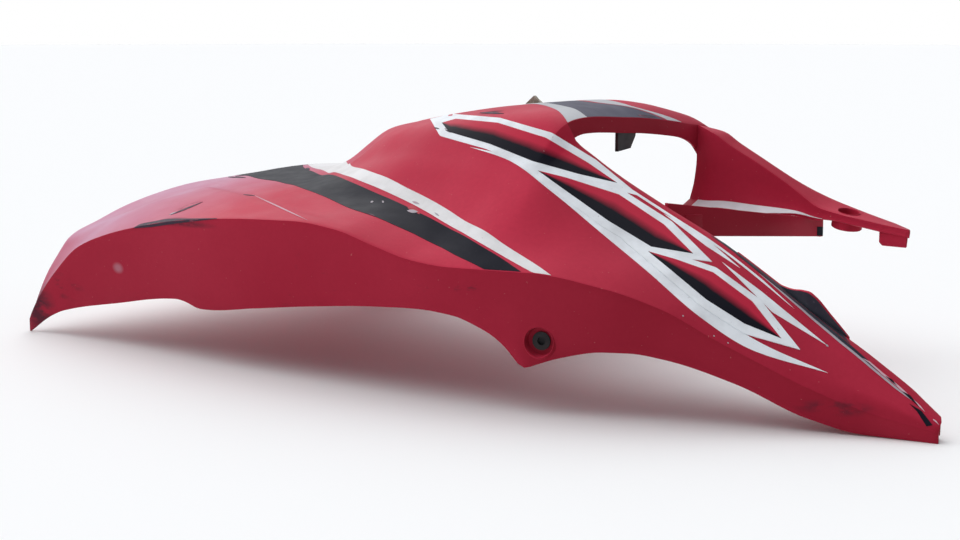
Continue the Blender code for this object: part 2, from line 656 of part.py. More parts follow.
def main():
    """Clear the file and build every piece."""
    for obj in list(bpy.data.objects):
        bpy.data.objects.remove(obj)
    parts = bpy.data.collections.new("front_fairing_panel")
    cutters = bpy.data.collections.new("cutters")
    bpy.context.scene.collection.children.link(parts)
    bpy.context.scene.collection.children.link(cutters)
    shell = build_shell(parts, cutters)
    clip = build_clip(parts, cutters)
    lug = build_lug(parts)
    grommet = build_grommet(parts, cutters)
    shell.data.materials.append(material("red_moulded_plastic", RED, 0.35))
    clip.data.materials.append(material("black_bracket_plastic", BLACK, 0.55))
    lug.data.materials.append(material("dull_steel", STEEL, 0.45, 1.0))
    grommet.data.materials.append(material("black_rubber", BLACK, 0.8))
    for obj in (shell, grommet):
        shade_round(obj)
    for obj in list(parts.objects) + list(cutters.objects):
        obj.location.x -= 0.5 * (WING_END_X + NOSE_X)


main()
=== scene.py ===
"""Worn front fairing panel: the moulded skin, its printed bands and its small fittings.

The near half is at negative Y, the open wing end at negative X, and Z is up. Lengths are in metres.
"""
import math

import bmesh
import bpy
import numpy as np
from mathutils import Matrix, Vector
from mathutils.bvhtree import BVHTree


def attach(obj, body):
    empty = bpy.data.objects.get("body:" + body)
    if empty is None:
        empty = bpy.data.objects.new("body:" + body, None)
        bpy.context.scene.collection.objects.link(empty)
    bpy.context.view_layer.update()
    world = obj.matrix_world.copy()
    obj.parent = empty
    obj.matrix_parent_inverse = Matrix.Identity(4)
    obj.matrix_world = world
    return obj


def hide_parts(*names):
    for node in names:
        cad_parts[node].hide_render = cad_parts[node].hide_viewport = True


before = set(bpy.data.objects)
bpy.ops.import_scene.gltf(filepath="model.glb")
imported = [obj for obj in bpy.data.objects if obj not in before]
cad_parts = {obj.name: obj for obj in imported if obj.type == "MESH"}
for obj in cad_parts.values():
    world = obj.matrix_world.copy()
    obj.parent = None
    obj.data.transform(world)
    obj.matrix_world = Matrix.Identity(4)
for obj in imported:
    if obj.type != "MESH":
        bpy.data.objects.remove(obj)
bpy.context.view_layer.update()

# Skin sizes
WALL = 0.0025
WING_END_X = -0.430
BAND_FRONT_X = 0.100
NOSE_X = 0.436
MIDDLE_X = 0.5 * (WING_END_X + NOSE_X)
RIDGE_Y = -0.090
HEM_TUCK = 0.006
HEM_FADE = 0.080
WALL_BULGE = 0.15
CROWN_FADE = 0.012
LIP_DEPTH = 0.0135
CORNER_REACH = 0.036
CORNER_DROP = 0.014
WEB_HOLLOW = 0.010
WEB_SET_BACK = 0.0015
FLANGE_WIDTH = 0.012
FLANGE_FALL = 0.4
FLANGE_LEAST_WEB = 0.12
FLANGE_GROWTH = 3.0
ARM_END_SLANT = 0.011
FACET_WIDTH = 0.010
NOSE_SLANT = 0.5
NOSE_SLANT_START = 0.380
FAR_FLANK_DROP = 0.045
FAR_FLANK_SPREAD = 0.030
SKIN_ROUNDING = 0.0009
ROOF_OPENING_Y = 0.060
ROOF_OPENING_X = BAND_FRONT_X - 0.0075
WEB_OPENING_X = BAND_FRONT_X - 0.0080
WEB_CLEARANCE = 0.0045

# Low relief of the wing: heights, and the stations where it comes up and dies away
CREST_HEIGHT = 0.0018
GROOVE_DEPTH = 0.0020
GROOVE_OFFSET = 0.017
CREST_START = (-0.400, -0.340)
CREST_END = (-0.090, -0.020)
REAR_CORNER_HEIGHT = 0.0062
REAR_CORNER_Y = 0.203
REAR_CORNER_X = (-0.350, -0.430)

# Fittings
TAB_X = 0.162
TAB_HEIGHT = 0.058
TAB_SINK = 0.0036
TAB_BORE = 0.0119
BOSS_X = 0.2525
BOSS_BORE = 0.0100
BORE_DEPTH = 0.012
BORE_CLEARANCE = 0.020
BAR_THICKNESS = 0.0035
POST_REACH = (-0.016, 0.001)
POST_SIDE = 0.0021
PAD_THICKNESS = 0.0045
TONGUE_THICKNESS = 0.0030
TONGUE_START = 0.2870
TONGUE_DEPTH = 0.0145
TONGUE_SINK = 0.001
TONGUE_SIDE = 0.0012
TONGUE_CHAMFER = 0.003
TONGUE_FOOT_REACH = 0.003
TONGUE_TOP_REACH = 0.004
FIN_THICKNESS = 0.0025
FIN_LEAN = 0.35
FIN_ROOT = 0.004

# Prints: thickness of a film, how far it is let into the skin, and its distance from an edge
FILM = 0.00022
FILM_ROOT = 0.0002
NEAR_MARGIN = 0.0008
FAR_MARGIN = 0.0012
BAR_MARGIN = 0.0006
# Painted shade at the cross bar's end: its length along the bar and the share of the bar's height it covers
BAR_END_SHADE_LENGTH = 0.0100
BAR_END_SHADE_SHARE = 0.55

# Rows of the grids
SPAN_ROWS = 15
WALL_ROWS = 8
LIP_ROWS = 7
FLANGE_ROWS = 4
ARM_ROWS = SPAN_ROWS // 3
ARM_ROW = 2 * SPAN_ROWS + ARM_ROWS
STATION_STEP = 0.0045

# Guide lines of the near half: station x, distance out from the middle plane, height
CREASE = [
    (-0.430, 0.254, 0.012), (-0.424, 0.254, 0.022), (-0.380, 0.254, 0.068), (-0.350, 0.254, 0.090),
    (-0.310, 0.253, 0.105), (-0.270, 0.253, 0.115), (-0.219, 0.253, 0.125), (-0.162, 0.252, 0.132),
    (-0.100, 0.250, 0.136), (-0.063, 0.248, 0.137), (-0.021, 0.246, 0.134), (0.019, 0.243, 0.124),
    (0.057, 0.239, 0.115), (0.090, 0.233, 0.112), (0.155, 0.216, 0.112), (0.211, 0.196, 0.103),
    (0.253, 0.176, 0.088), (0.283, 0.161, 0.070), (0.314, 0.146, 0.053), (0.347, 0.131, 0.036),
    (0.390, 0.110, 0.018), (0.436, 0.0945, 0.008)]
LOWER_FLANK = [
    (-0.430, 0.220, 0.068), (-0.380, 0.204, 0.102), (-0.310, 0.190, 0.130), (-0.245, 0.180, 0.140),
    (-0.162, 0.170, 0.147), (-0.100, 0.165, 0.150), (-0.040, 0.165, 0.150), (0.020, 0.176, 0.143),
    (0.060, 0.188, 0.135), (0.100, 0.195, 0.132), (0.155, 0.186, 0.126), (0.211, 0.168, 0.115),
    (0.253, 0.152, 0.099), (0.314, 0.131, 0.066), (0.370, 0.111, 0.037), (0.436, 0.0935, 0.011)]
MID_FLANK = [
    (-0.430, 0.156, 0.105), (-0.360, 0.140, 0.124), (-0.300, 0.125, 0.140), (-0.245, 0.112, 0.146),
    (-0.200, 0.103, 0.151), (-0.162, 0.097, 0.160), (-0.100, 0.105, 0.176), (-0.040, 0.118, 0.183),
    (0.020, 0.130, 0.183), (0.060, 0.138, 0.180), (0.100, 0.142, 0.177), (0.155, 0.138, 0.153),
    (0.211, 0.126, 0.131), (0.253, 0.118, 0.115), (0.314, 0.108, 0.080), (0.370, 0.100, 0.047),
    (0.436, 0.0920, 0.0135)]
SHOULDER = [
    (-0.430, 0.075, 0.125), (-0.360, 0.070, 0.137), (-0.300, 0.062, 0.1488), (-0.245, 0.055, 0.1532),
    (-0.200, 0.050, 0.1600), (-0.180, 0.050, 0.1685), (-0.162, 0.052, 0.1795), (-0.130, 0.057, 0.1970),
    (-0.100, 0.062, 0.205), (-0.040, 0.075, 0.214), (0.020, 0.084, 0.220), (0.070, 0.089, 0.222),
    (0.100, 0.090, 0.217), (0.108, 0.090, 0.2035), (0.124, 0.090, 0.1920), (0.145, 0.090, 0.1795),
    (0.197, 0.090, 0.1540), (0.246, 0.090, 0.1315), (0.305, 0.090, 0.098), (0.361, 0.090, 0.064),
    (0.418, 0.090, 0.0255), (0.436, 0.090, 0.0155)]

# Guide lines over the middle plane and along the hem: station x, height
CROWN = [
    (-0.430, 0.131), (-0.357, 0.1435), (-0.300, 0.1530), (-0.258, 0.1565), (-0.240, 0.158),
    (-0.222, 0.1640), (-0.196, 0.1850), (-0.176, 0.1970), (-0.156, 0.2020), (-0.124, 0.2075),
    (-0.077, 0.216), (-0.015, 0.2250), (0.040, 0.2290), (0.075, 0.2260), (0.100, 0.2175)]
HEM = [
    (-0.430, 0.000), (-0.400, 0.0178), (-0.380, 0.0255), (-0.300, 0.0415), (-0.232, 0.0532),
    (-0.216, 0.0545), (-0.208, 0.0538), (-0.186, 0.0490), (-0.178, 0.0492), (-0.118, 0.0570),
    (-0.059, 0.0650), (0.014, 0.0728), (0.060, 0.0752), (0.089, 0.0728), (0.112, 0.0652),
    (0.124, 0.0590), (0.134, 0.0510), (0.149, 0.0365), (0.158, 0.0395), (0.175, 0.0458),
    (0.209, 0.0530), (0.227, 0.0533), (0.250, 0.0498), (0.299, 0.0335), (0.347, 0.0107),
    (0.385, 0.0012), (0.436, 0.0000)]

# Far half beside the band: station x, shoulder moved out and up, flank moved out and up
FAR_LEAN = [
    (0.000, 0.000, 0.0000, 0.000, 0.000), (0.040, 0.004, 0.0040, 0.006, 0.014),
    (0.060, 0.005, 0.0020, 0.010, 0.021), (0.080, 0.006, -0.0030, 0.012, 0.022),
    (0.100, 0.006, -0.0095, 0.010, 0.017)]

# Arm in front of the band: x, inner edge y z, outer edge y z, web depth, skirt depth
ARM = [
    (0.120, 0.1125, 0.1985, 0.1320, 0.1990, 0.062, 0.016),
    (0.137, 0.1140, 0.1880, 0.1320, 0.1893, 0.051, 0.016),
    (0.165, 0.1160, 0.1732, 0.1320, 0.1745, 0.038, 0.016),
    (0.190, 0.1160, 0.1595, 0.1330, 0.1610, 0.0255, 0.014),
    (0.210, 0.1140, 0.1480, 0.1360, 0.1508, 0.0155, 0.014),
    (0.230, 0.1110, 0.1375, 0.1390, 0.1425, 0.0090, 0.008),
    (0.2525, 0.1100, 0.1330, 0.1400, 0.1355, 0.006, 0.006),
    (0.278, 0.1120, 0.1290, 0.1400, 0.1285, 0.006, 0.006),
    (0.309, 0.1140, 0.1240, 0.1400, 0.1210, 0.006, 0.006)]

# Web under the arm: share of its depth, share of its hollow
WEB_ROWS = [(0.0, 0.0), (0.45, 0.1), (0.75, -0.25), (1.0, -1.0)]

# Beak: station x, rise of its fin and of the far edge of its centre facet
FIN = [
    (0.262, 0.0003), (0.299, 0.0004), (0.304, 0.0016), (0.311, 0.0046), (0.321, 0.0108),
    (0.329, 0.0142), (0.332, 0.0140), (0.345, 0.0075), (0.358, 0.0010)]
FACET_RISE = [
    (0.360, 0.0000), (0.385, 0.0015), (0.400, 0.0035), (0.412, 0.0045), (0.425, 0.0036),
    (0.436, 0.0022)]

# Cross bar at both ends: x, y, top, foot
CROSS_BAR = [(0.196, -0.086, 0.1570, 0.1302), (0.221, 0.1360, 0.1245, 0.1085)]

# Upper edge of the far half's opening: station x, height
FAR_OPENING = [
    (-0.300, -0.010), (-0.285, 0.060), (-0.255, 0.112), (-0.215, 0.145), (-0.165, 0.166),
    (-0.100, 0.182), (0.000, 0.194), (0.1015, 0.198)]
CORNER_STATIONS = [-0.243, -0.216, -0.186, 0.134, 0.149, 0.158]

# Soft crest along the wing's top, in plan: station x, distance out
WING_CREST = [
    (-0.400, 0.092), (-0.374, 0.100), (-0.341, 0.113), (-0.2385, 0.1686), (-0.158, 0.2009),
    (-0.067, 0.232), (-0.040, 0.240)]

# Turned profiles: radius, place along the axis
TAB_CUP = [
    (0.0050, -0.0094), (0.0138, -0.0094), (0.0140, -0.0090), (0.0140, -0.0014), (0.0128, -0.0006),
    (0.0125, 0.0002), (0.0122, 0.0006), (0.0118, 0.0006), (0.0115, 0.0001), (0.0114, -0.0010),
    (0.0112, -0.0062), (0.0108, -0.0068), (0.0101, -0.0070), (0.0054, -0.0070), (0.0050, -0.0074)]
TAB_HOLE_BACK = [(0.0, -0.0091), (0.0036, -0.0091), (0.0036, -0.0087), (0.0, -0.0087)]
ARM_BOSS = [
    (0.0000, -0.0145), (0.0130, -0.0145), (0.0135, -0.0140), (0.0135, -0.0012), (0.0105, -0.0004),
    (0.0102, 0.0003), (0.0098, 0.0004), (0.0095, 0.0000), (0.0094, -0.0010), (0.0092, -0.0102),
    (0.0088, -0.0110), (0.0080, -0.0115), (0.0000, -0.0115)]

# Pad on the cross bar: distance along the bar, height
BAR_PAD = [(0.022, 0.1340), (0.045, 0.1330), (0.045, 0.1440), (0.022, 0.1460)]

# Camera of the photograph
CAMERA_AT = Vector((0.88279, -1.17377, 0.305))
CAMERA_AZIMUTH = math.radians(39.0613)
CAMERA_PITCH = math.radians(9.0)
CAMERA_LENS = 60.0
SENSOR_WIDTH = 36.0
FRAME_WIDTH = 960
FRAME_HEIGHT = 540


def cubic(t, start, end, leaving, arriving):
    """Cubic between two values, with the slopes it leaves and arrives at."""
    straight = (1 + 2 * t) * (1 - t) ** 2 * start + t * t * (3 - 2 * t) * end
    return straight + t * (1 - t) ** 2 * leaving + t * t * (t - 1) * arriving


def smooth_curve(stations, values):
    """Curve through the values that never swings past them: cubics with bounded tangents."""
    x = np.asarray(stations, float)
    y = np.asarray(values, float)
    step = np.diff(x)
    slope = np.diff(y) / step
    tangent = np.zeros_like(y)
    tangent[0] = slope[0]
    tangent[-1] = slope[-1]
    same = slope[:-1] * slope[1:] > 0
    left = 2 * step[1:] + step[:-1]
    right = step[1:] + 2 * step[:-1]
    safe_a = np.where(same, slope[:-1], 1.0)
    safe_b = np.where(same, slope[1:], 1.0)
    tangent[1:-1] = np.where(same, (left + right) / (left / safe_a + right / safe_b), 0.0)

    def at(position):
        p = np.clip(np.asarray(position, float), x[0], x[-1])
        i = np.clip(np.searchsorted(x, p) - 1, 0, len(x) - 2)
        t = (p - x[i]) / step[i]
        return cubic(t, y[i], y[i + 1], tangent[i] * step[i], tangent[i + 1] * step[i])

    return at


def guide(points):
    """One curve for each value after the station."""
    columns = np.array(points).T
    return [smooth_curve(columns[0], column) for column in columns[1:]]


crease_out, crease_up = guide(CREASE)
lower_out, lower_up = guide(LOWER_FLANK)
mid_out, mid_up = guide(MID_FLANK)
shoulder_out, shoulder_up = guide(SHOULDER)
(crown_up,) = guide(CROWN)
(hem_up,) = guide(HEM)
(fin_rise,) = guide(FIN)
(crest_out,) = guide(WING_CREST)
(facet_rise,) = guide(FACET_RISE)
(opening_up,) = guide(FAR_OPENING)
lean_curves = guide(FAR_LEAN)


def ramp(value, start, end):
    """Straight rise from 0 at start to 1 at end."""
    return np.clip((value - start) / (end - start), 0.0, 1.0)


def bell(offset, inner, outer):
    """Bell curve of height 1, with one width inside its peak and another outside."""
    return np.exp(-(offset / np.where(offset > 0, outer, inner)) ** 2)


def flank_knots(x):
    """Knots of the near half: crease, lower flank, mid flank, shoulder, crown."""
    outs = [crease_out(x), lower_out(x), mid_out(x), shoulder_out(x)]
    ups = [crease_up(x), lower_up(x), mid_up(x), shoulder_up(x)]
    beak = ramp(x, BAND_FRONT_X, BAND_FRONT_X + CROWN_FADE)
    outs.append(beak * (2.0 * outs[3] - outs[2]))
    ups.append(beak * (2.0 * ups[3] - ups[2]) + (1.0 - beak) * crown_up(x))
    return np.stack(outs, 1), np.stack(ups, 1)


def spline_rows(y, z, first, last):
    """Section rows between knots: cubics whose tangents are half the neighbours' distance."""
    rows = []
    count = y.shape[1]
    for k in range(first, last):
        before = max(k - 1, 0)
        after = min(k + 2, count - 1)
        for t in np.arange(SPAN_ROWS) / SPAN_ROWS:
            part = []
            for v in (y, z):
                leaving = 0.5 * (v[:, k + 1] - v[:, before]) * (1.0 if k else 2.0)
                arriving = 0.5 * (v[:, after] - v[:, k]) * (1.0 if k + 2 < count else 2.0)
                part.append(cubic(t, v[:, k], v[:, k + 1], leaving, arriving))
            rows.append(part)
    rows.append([y[:, last], z[:, last]])
    rows = np.array(rows)
    return rows[:, 0].T, rows[:, 1].T


def wing_relief(x, y, z):
    """Height plus a crest less the groove behind it, and a raised rear corner: bell curves across."""
    across = np.abs(y) - crest_out(x)
    along = ramp(x, *CREST_START) * (1.0 - ramp(x, *CREST_END))
    crest = CREST_HEIGHT * bell(across, inner=0.0070, outer=0.0130)
    groove = GROOVE_DEPTH * bell(across + GROOVE_OFFSET, inner=0.0100, outer=0.0100)
    corner = REAR_CORNER_HEIGHT * bell(np.abs(y) - REAR_CORNER_Y, inner=0.0260, outer=0.0130)
    return z + along * (crest - groove) + ramp(x, *REAR_CORNER_X) * corner


def wall_rows(x, y, z, inward):
    """Side wall below the crease: a straight drop to the hem, bowed by a shallow parabola."""
    tuck = HEM_TUCK * ramp(x, WING_END_X, WING_END_X + HEM_FADE) * inward
    tuck = (tuck * ramp(-x, -NOSE_X, HEM_FADE - NOSE_X))[:, None]
    t = np.linspace(0.0, 1.0, WALL_ROWS + 1)[None, 1:]
    wall_y = y[:, None] + tuck * (t - 4.0 * WALL_BULGE * t * (1.0 - t))
    return wall_y, (1.0 - t) * z[:, None] + t * hem_up(x)[:, None]


def points_at(x, y, z):
    """Stack stations, rows across and heights, with the middle of the box at X zero."""
    return np.stack([np.broadcast_to(x[:, None] - MIDDLE_X, y.shape), y, z], -1)


def near_side(x):
    """Near side: its wall from the hem up, then the section spline up to the shoulder."""
    out, up = flank_knots(x)
    y, z = spline_rows(-out, up, 0, 3)
    wall_y, wall_z = wall_rows(x, y[:, 0], z[:, 0], 1.0)
    z = wing_relief(x[:, None], y, z)
    return points_at(x, np.hstack([wall_y[:, ::-1], y]), np.hstack([wall_z[:, ::-1], z]))


def roof(x):
    """Roof: the section spline from the near shoulder over the crown to the far hem."""
    out, up = flank_knots(x)
    far_out = out[:, 3::-1].copy()
    far_up = up[:, 3::-1].copy()
    for column in (0, 1):
        far_out[:, column] += lean_curves[2 * column](x)
        far_up[:, column] += lean_curves[2 * column + 1](x)
    y, z = spline_rows(np.hstack([-out, far_out]), np.hstack([up, far_up]), 3, 8)
    wall_y, wall_z = wall_rows(x, y[:, -1], z[:, -1], -1.0)
    z = wing_relief(x[:, None], y, z)
    return points_at(x, np.hstack([y, wall_y]), np.hstack([z, wall_z]))


def far_edge(x):
    """Ridge line of the beak and the far edge of its centre facet, which is narrow before the nose."""
    width = FACET_WIDTH * ramp(x, BAND_FRONT_X, BAND_FRONT_X + 0.03)
    width = width * (0.35 + 0.65 * ramp(x, 0.330, 0.390)) * (1.0 - 0.4 * ramp(x, 0.415, NOSE_X))
    ridge = np.stack([x - MIDDLE_X, np.full_like(x, RIDGE_Y), shoulder_up(x)], 1)
    return ridge, ridge + np.stack([0 * x, width, facet_rise(x)], 1)


def slanted(grid, x):
    """Points moved back in step with their distance from the ridge, near the nose."""
    near_nose = ramp(x, NOSE_SLANT_START, NOSE_X)[:, None]
    grid[..., 0] -= NOSE_SLANT * (grid[..., 1] - RIDGE_Y) * near_nose
    return grid


def beak_flank(x):
    """Centre facet and the flat far flank under it, cut off at a slant at the nose."""
    ridge, edge = far_edge(x)
    drop = np.minimum(FAR_FLANK_DROP, edge[:, 2] - 0.003)
    reach = FAR_FLANK_SPREAD * (drop / FAR_FLANK_DROP) ** 2
    lip_share = LIP_DEPTH / FAR_FLANK_DROP
    shares = np.concatenate([np.linspace(0, lip_share, LIP_ROWS + 1),
                             np.linspace(lip_share, 1, WALL_ROWS)[1:]])
    fall = np.stack([0 * x, reach, -drop], 1)
    flank = edge[:, None] + shares[None, :, None] * fall[:, None]
    return slanted(np.concatenate([ridge[:, None], flank], 1), x)


def stations(first, last, corners):
    """Evenly spaced stations that also stop at the corners."""
    stops = [first] + [c for c in sorted(corners) if first < c < last] + [last]
    values = [np.linspace(a, b, max(1, round((b - a) / STATION_STEP)) + 1)[:-1]
              for a, b in zip(stops[:-1], stops[1:])]
    return np.append(np.concatenate(values), last)


def arm_curves(front_edge):
    """Arm guides that begin at the roof's own front edge."""
    inner, outer = front_edge[ARM_ROW], front_edge[ARM_ROW + ARM_ROWS]
    root = inner[2] - ARM[0][2] + ARM[0][5]
    start = (BAND_FRONT_X, inner[1], inner[2], outer[1], outer[2], root, ARM[0][6])
    return guide([start] + ARM), root


def end_slant(x):
    """How far the arm's cut end leans at its two edges."""
    return 0.5 * ARM_END_SLANT * ramp(x, ARM[-1][0] - 0.020, ARM[-1][0])


def arm_top(x, curves):
    """Arm: a narrow straight top between its two edges, then its outer skirt straight down."""
    inner_y, inner_z, outer_y, outer_z, _, skirt = [c(x) for c in curves]
    inner = np.stack([x - MIDDLE_X + end_slant(x), inner_y, inner_z], 1)
    outer = np.stack([x - MIDDLE_X - end_slant(x), outer_y, outer_z], 1)
    t = np.linspace(0.0, 1.0, ARM_ROWS + 1)[None, :, None]
    top = (1.0 - t) * inner[:, None] + t * outer[:, None]
    t = np.linspace(0.0, 1.0, 5)[None, 1:, None]
    side = outer[:, None] - t * np.stack([0 * x, 0 * x, skirt], 1)[:, None]
    return np.concatenate([top, side], 1)


def arm_web(x, curves, root):
    """Hollow web: it hangs from the inner edge, bows in and turns out into a flange."""
    inner_y, inner_z, _, _, depth, _ = [c(x) for c in curves]
    corner = (LIP_DEPTH + CORNER_DROP) / root
    shares = np.concatenate([np.linspace(0, corner, LIP_ROWS + 1), np.linspace(corner, 1, 10)[1:]])
    bulge = smooth_curve(*np.array(WEB_ROWS).T)(shares)[None]
    full = (depth / root)[:, None]
    y = inner_y[:, None] + WEB_HOLLOW * bulge * full
    z = inner_z[:, None] - depth[:, None] * shares[None]
    reach = FLANGE_WIDTH * np.clip((full - FLANGE_LEAST_WEB) * FLANGE_GROWTH, 0.0, 1.0)
    t = np.linspace(0, 1, FLANGE_ROWS + 1)[None, 1:]
    y = np.hstack([y, y[:, -1:] - reach * t])
    z = np.hstack([z, z[:, -1:] - FLANGE_FALL * reach * t])
    grid = points_at(x + end_slant(x), y, z)
    back = WEB_SET_BACK * (1.0 - ramp(x, BAND_FRONT_X, BAND_FRONT_X + 0.016))
    grid[..., 0] -= back[:, None] * ramp(np.arange(y.shape[1]), 0, LIP_ROWS)[None]
    return grid


def roof_lip(front_edge, beak_start, web_start):
    """Lip: the front edge dropped down, with a quarter oval in the corner beside the web."""
    t = np.linspace(0.0, 1.0, LIP_ROWS + 1)[:, None, None]
    near_web = ramp(front_edge[:, 1], front_edge[-1, 1] - CORNER_REACH, front_edge[-1, 1])
    drop = LIP_DEPTH + CORNER_DROP * (1.0 - np.sqrt(1.0 - near_web ** 2))
    lip = front_edge[None] - t * np.stack([0 * drop, 0 * drop, drop], 1)[None]
    to_web = web_start[:LIP_ROWS + 1] - lip[:, -1]
    lip += to_web[:, None] * (near_web ** 3)[None, :, None]
    to_beak = beak_start[1:LIP_ROWS + 2] - lip[:, 0]
    share = 1.0 - ramp(np.arange(lip.shape[1]), 0, ARM_ROWS)
    return lip + to_beak[:, None] * share[None, :, None]


def grid_faces(rows, columns, first, flip):
    """Four-sided faces of a grid as index rows."""
    i, j = np.meshgrid(np.arange(rows - 1), np.arange(columns - 1), indexing="ij")
    a = (first + i * columns + j).ravel()
    quads = np.stack([a, a + columns, a + columns + 1, a + 1], 1)
    return quads[:, ::-1] if flip else quads


def join_grids(grids):
    """Points and faces of several grids in one list."""
    points, faces, count = [], [], 0
    for grid, flip in grids:
        faces.append(grid_faces(grid.shape[0], grid.shape[1], count, flip))
        points.append(grid.reshape(-1, 3))
        count += len(points[-1])
    return np.concatenate(points), np.concatenate(faces)


def placed(name, data):
    """New object in the scene, at the origin."""
    obj = bpy.data.objects.new(name, data)
    bpy.context.scene.collection.objects.link(obj)
    return obj


def mesh_object(name, points, faces):
    """Mesh from whole arrays, placed in the scene."""
    mesh = bpy.data.meshes.new(name)
    mesh.from_pydata(np.asarray(points).tolist(), [], [list(f) for f in faces])
    return placed(name, mesh)


def solid_object(name, work):
    """Mesh from a finished round solid, placed in the scene."""
    mesh = bpy.data.meshes.new(name)
    work.to_mesh(mesh)
    work.free()
    return placed(name, mesh)


def add_modifier(obj, kind, **settings):
    """Modifier with its settings."""
    modifier = obj.modifiers.new(kind.lower(), kind)
    for key, value in settings.items():
        setattr(modifier, key, value)
    return modifier


def settle(obj, sharp_degrees=36.0):
    """Turn the modified shape into the object's own mesh, smooth between sharp edges."""
    graph = bpy.context.evaluated_depsgraph_get()
    mesh = bpy.data.meshes.new_from_object(obj.evaluated_get(graph))
    obj.modifiers.clear()
    obj.data = mesh
    mesh.shade_smooth()
    mesh.set_sharp_from_angle(angle=math.radians(sharp_degrees))
    return obj


def faced_out(obj, merge=0.0):
    """Merge corners closer than the given distance, then turn every face outward."""
    work = bmesh.new()
    work.from_mesh(obj.data)
    if merge:
        bmesh.ops.remove_doubles(work, verts=work.verts, dist=merge)
        bmesh.ops.dissolve_degenerate(work, edges=work.edges, dist=merge)
    bmesh.ops.recalc_face_normals(work, faces=work.faces)
    work.to_mesh(obj.data)
    work.free()
    return obj


def block(name, start, end):
    """Closed block between two copies of an outline."""
    count = len(start)
    ring = np.arange(count)
    after = (ring + 1) % count
    faces = [list(ring[::-1]), list(ring + count)]
    faces += np.stack([ring, after, after + count, ring + count], 1).tolist()
    return faced_out(mesh_object(name, np.vstack([start, end]), faces))


def upright_plate(name, outline, thickness, origin, along=(1, 0, 0), rounding=0.0005):
    """Outline of distances along and heights, given thickness on both sides, with rounded edges."""
    along = np.array(along, float) / np.linalg.norm(along)
    up = np.array([0.0, 0.0, 1.0])
    side = np.cross(along, up) * 0.5 * thickness
    outline = np.array(outline)
    flat = np.array(origin) + np.outer(outline[:, 0], along) + np.outer(outline[:, 1], up)
    obj = block(name, flat - side, flat + side)
    add_modifier(obj, "BEVEL", width=rounding, segments=3, limit_method="ANGLE")
    return settle(obj)


def turned(name, profile, centre, axis):
    """Closed turned ring or cup: each profile point swept round the axis at its radius."""
    sides = 72
    axis = Vector(axis).normalized()
    across = axis.orthogonal().normalized()
    over = axis.cross(across)
    angle = np.linspace(0.0, 2.0 * math.pi, sides, endpoint=False)
    radial = np.outer(np.cos(angle), across) + np.outer(np.sin(angle), over)
    profile = np.array(profile)
    grid = (np.array(centre) + profile[None, :, 0, None] * radial[:, None]
            + profile[None, :, 1, None] * np.array(axis))
    columns = len(profile)
    i, j = np.meshgrid(np.arange(sides), np.arange(columns), indexing="ij")
    k, m = (i + 1) % sides, (j + 1) % columns
    corners = [i * columns + j, k * columns + j, k * columns + m, i * columns + m]
    obj = mesh_object(name, grid.reshape(-1, 3), np.stack(corners, -1).reshape(-1, 4))
    return settle(faced_out(obj, merge=0.000001))


def bore_tool(radius, centre, axis):
    """Closed cylinder through the skin, used only to cut."""
    work = bmesh.new()
    bmesh.ops.create_cone(work, cap_ends=True, segments=72, radius1=radius, radius2=radius,
                          depth=BORE_DEPTH + BORE_CLEARANCE)
    axis = Vector(axis).normalized()
    turn = axis.to_track_quat("Z", "Y").to_matrix().to_4x4()
    middle = Vector(centre) + axis * 0.5 * (BORE_CLEARANCE - BORE_DEPTH)
    bmesh.ops.transform(work, matrix=turn, verts=work.verts)
    bmesh.ops.translate(work, vec=middle, verts=work.verts)
    return solid_object("bore", work)


def opening_tool(first, last, inner_y):
    """Block that leaves the far half open below its sweeping edge, between two stations."""
    foot = -0.010
    width = 0.260
    x = np.linspace(first, last, 90)
    outline = [(first, foot)] + list(zip(x, opening_up(x))) + [(last, foot)]
    flat = np.array([(a - MIDDLE_X, inner_y, b) for a, b in outline])
    return block("opening", flat + np.array([0.0, width, 0.0]), flat)


def cut(obj, tools):
    """Cut the tools out of the object and delete them."""
    for tool in tools:
        add_modifier(obj, "BOOLEAN", operation="DIFFERENCE", solver="MANIFOLD", object=tool)
    settle(obj)
    for tool in tools:
        bpy.data.objects.remove(tool)


# Skin
rear_x = stations(WING_END_X, BAND_FRONT_X, CORNER_STATIONS)
beak_x = stations(BAND_FRONT_X, NOSE_X, CORNER_STATIONS)
arm_x = stations(BAND_FRONT_X, ARM[-1][0], [row[0] for row in ARM])
roof_grid = roof(rear_x)
front_edge = roof_grid[-1]
curves, web_root = arm_curves(front_edge)
web_grid = arm_web(arm_x, curves, web_root)
beak_grid = beak_flank(beak_x)
near_grid = near_side(np.concatenate([rear_x, beak_x[1:]]))
lip_grid = roof_lip(front_edge[:ARM_ROW + 1], beak_grid[0], web_grid[0])
skin_grids = [(near_grid, False), (roof_grid, False), (lip_grid, False),
              (arm_top(arm_x, curves), False), (web_grid, True), (beak_grid, False)]
skin_points, skin_quads = join_grids(skin_grids)
skin_tree = BVHTree.FromPolygons(skin_points.tolist(), skin_quads.tolist())


def tab_frame():
    """Middle of the tab on the near wall and the direction out of it."""
    reach = 0.01
    across = float(crease_out(TAB_X + reach) - crease_out(TAB_X - reach))
    out = Vector((-across, -2.0 * reach, 0.0)).normalized()
    return Vector((TAB_X - MIDDLE_X, TAB_SINK - float(crease_out(TAB_X)), TAB_HEIGHT)), out


def boss_frame():
    """Middle of the arm's top at the boss and the direction out of it."""
    reach = 0.02
    iy, iz, oy, oz = [float(c(BOSS_X)) for c in curves[:4]]
    rise = float(curves[1](BOSS_X + reach) - curves[1](BOSS_X - reach))
    axis = Vector((2 * reach, 0.0, rise)).cross(Vector((0.0, oy - iy, oz - iz))).normalized()
    return Vector((BOSS_X - MIDDLE_X, 0.5 * (iy + oy), 0.5 * (iz + oz))), axis


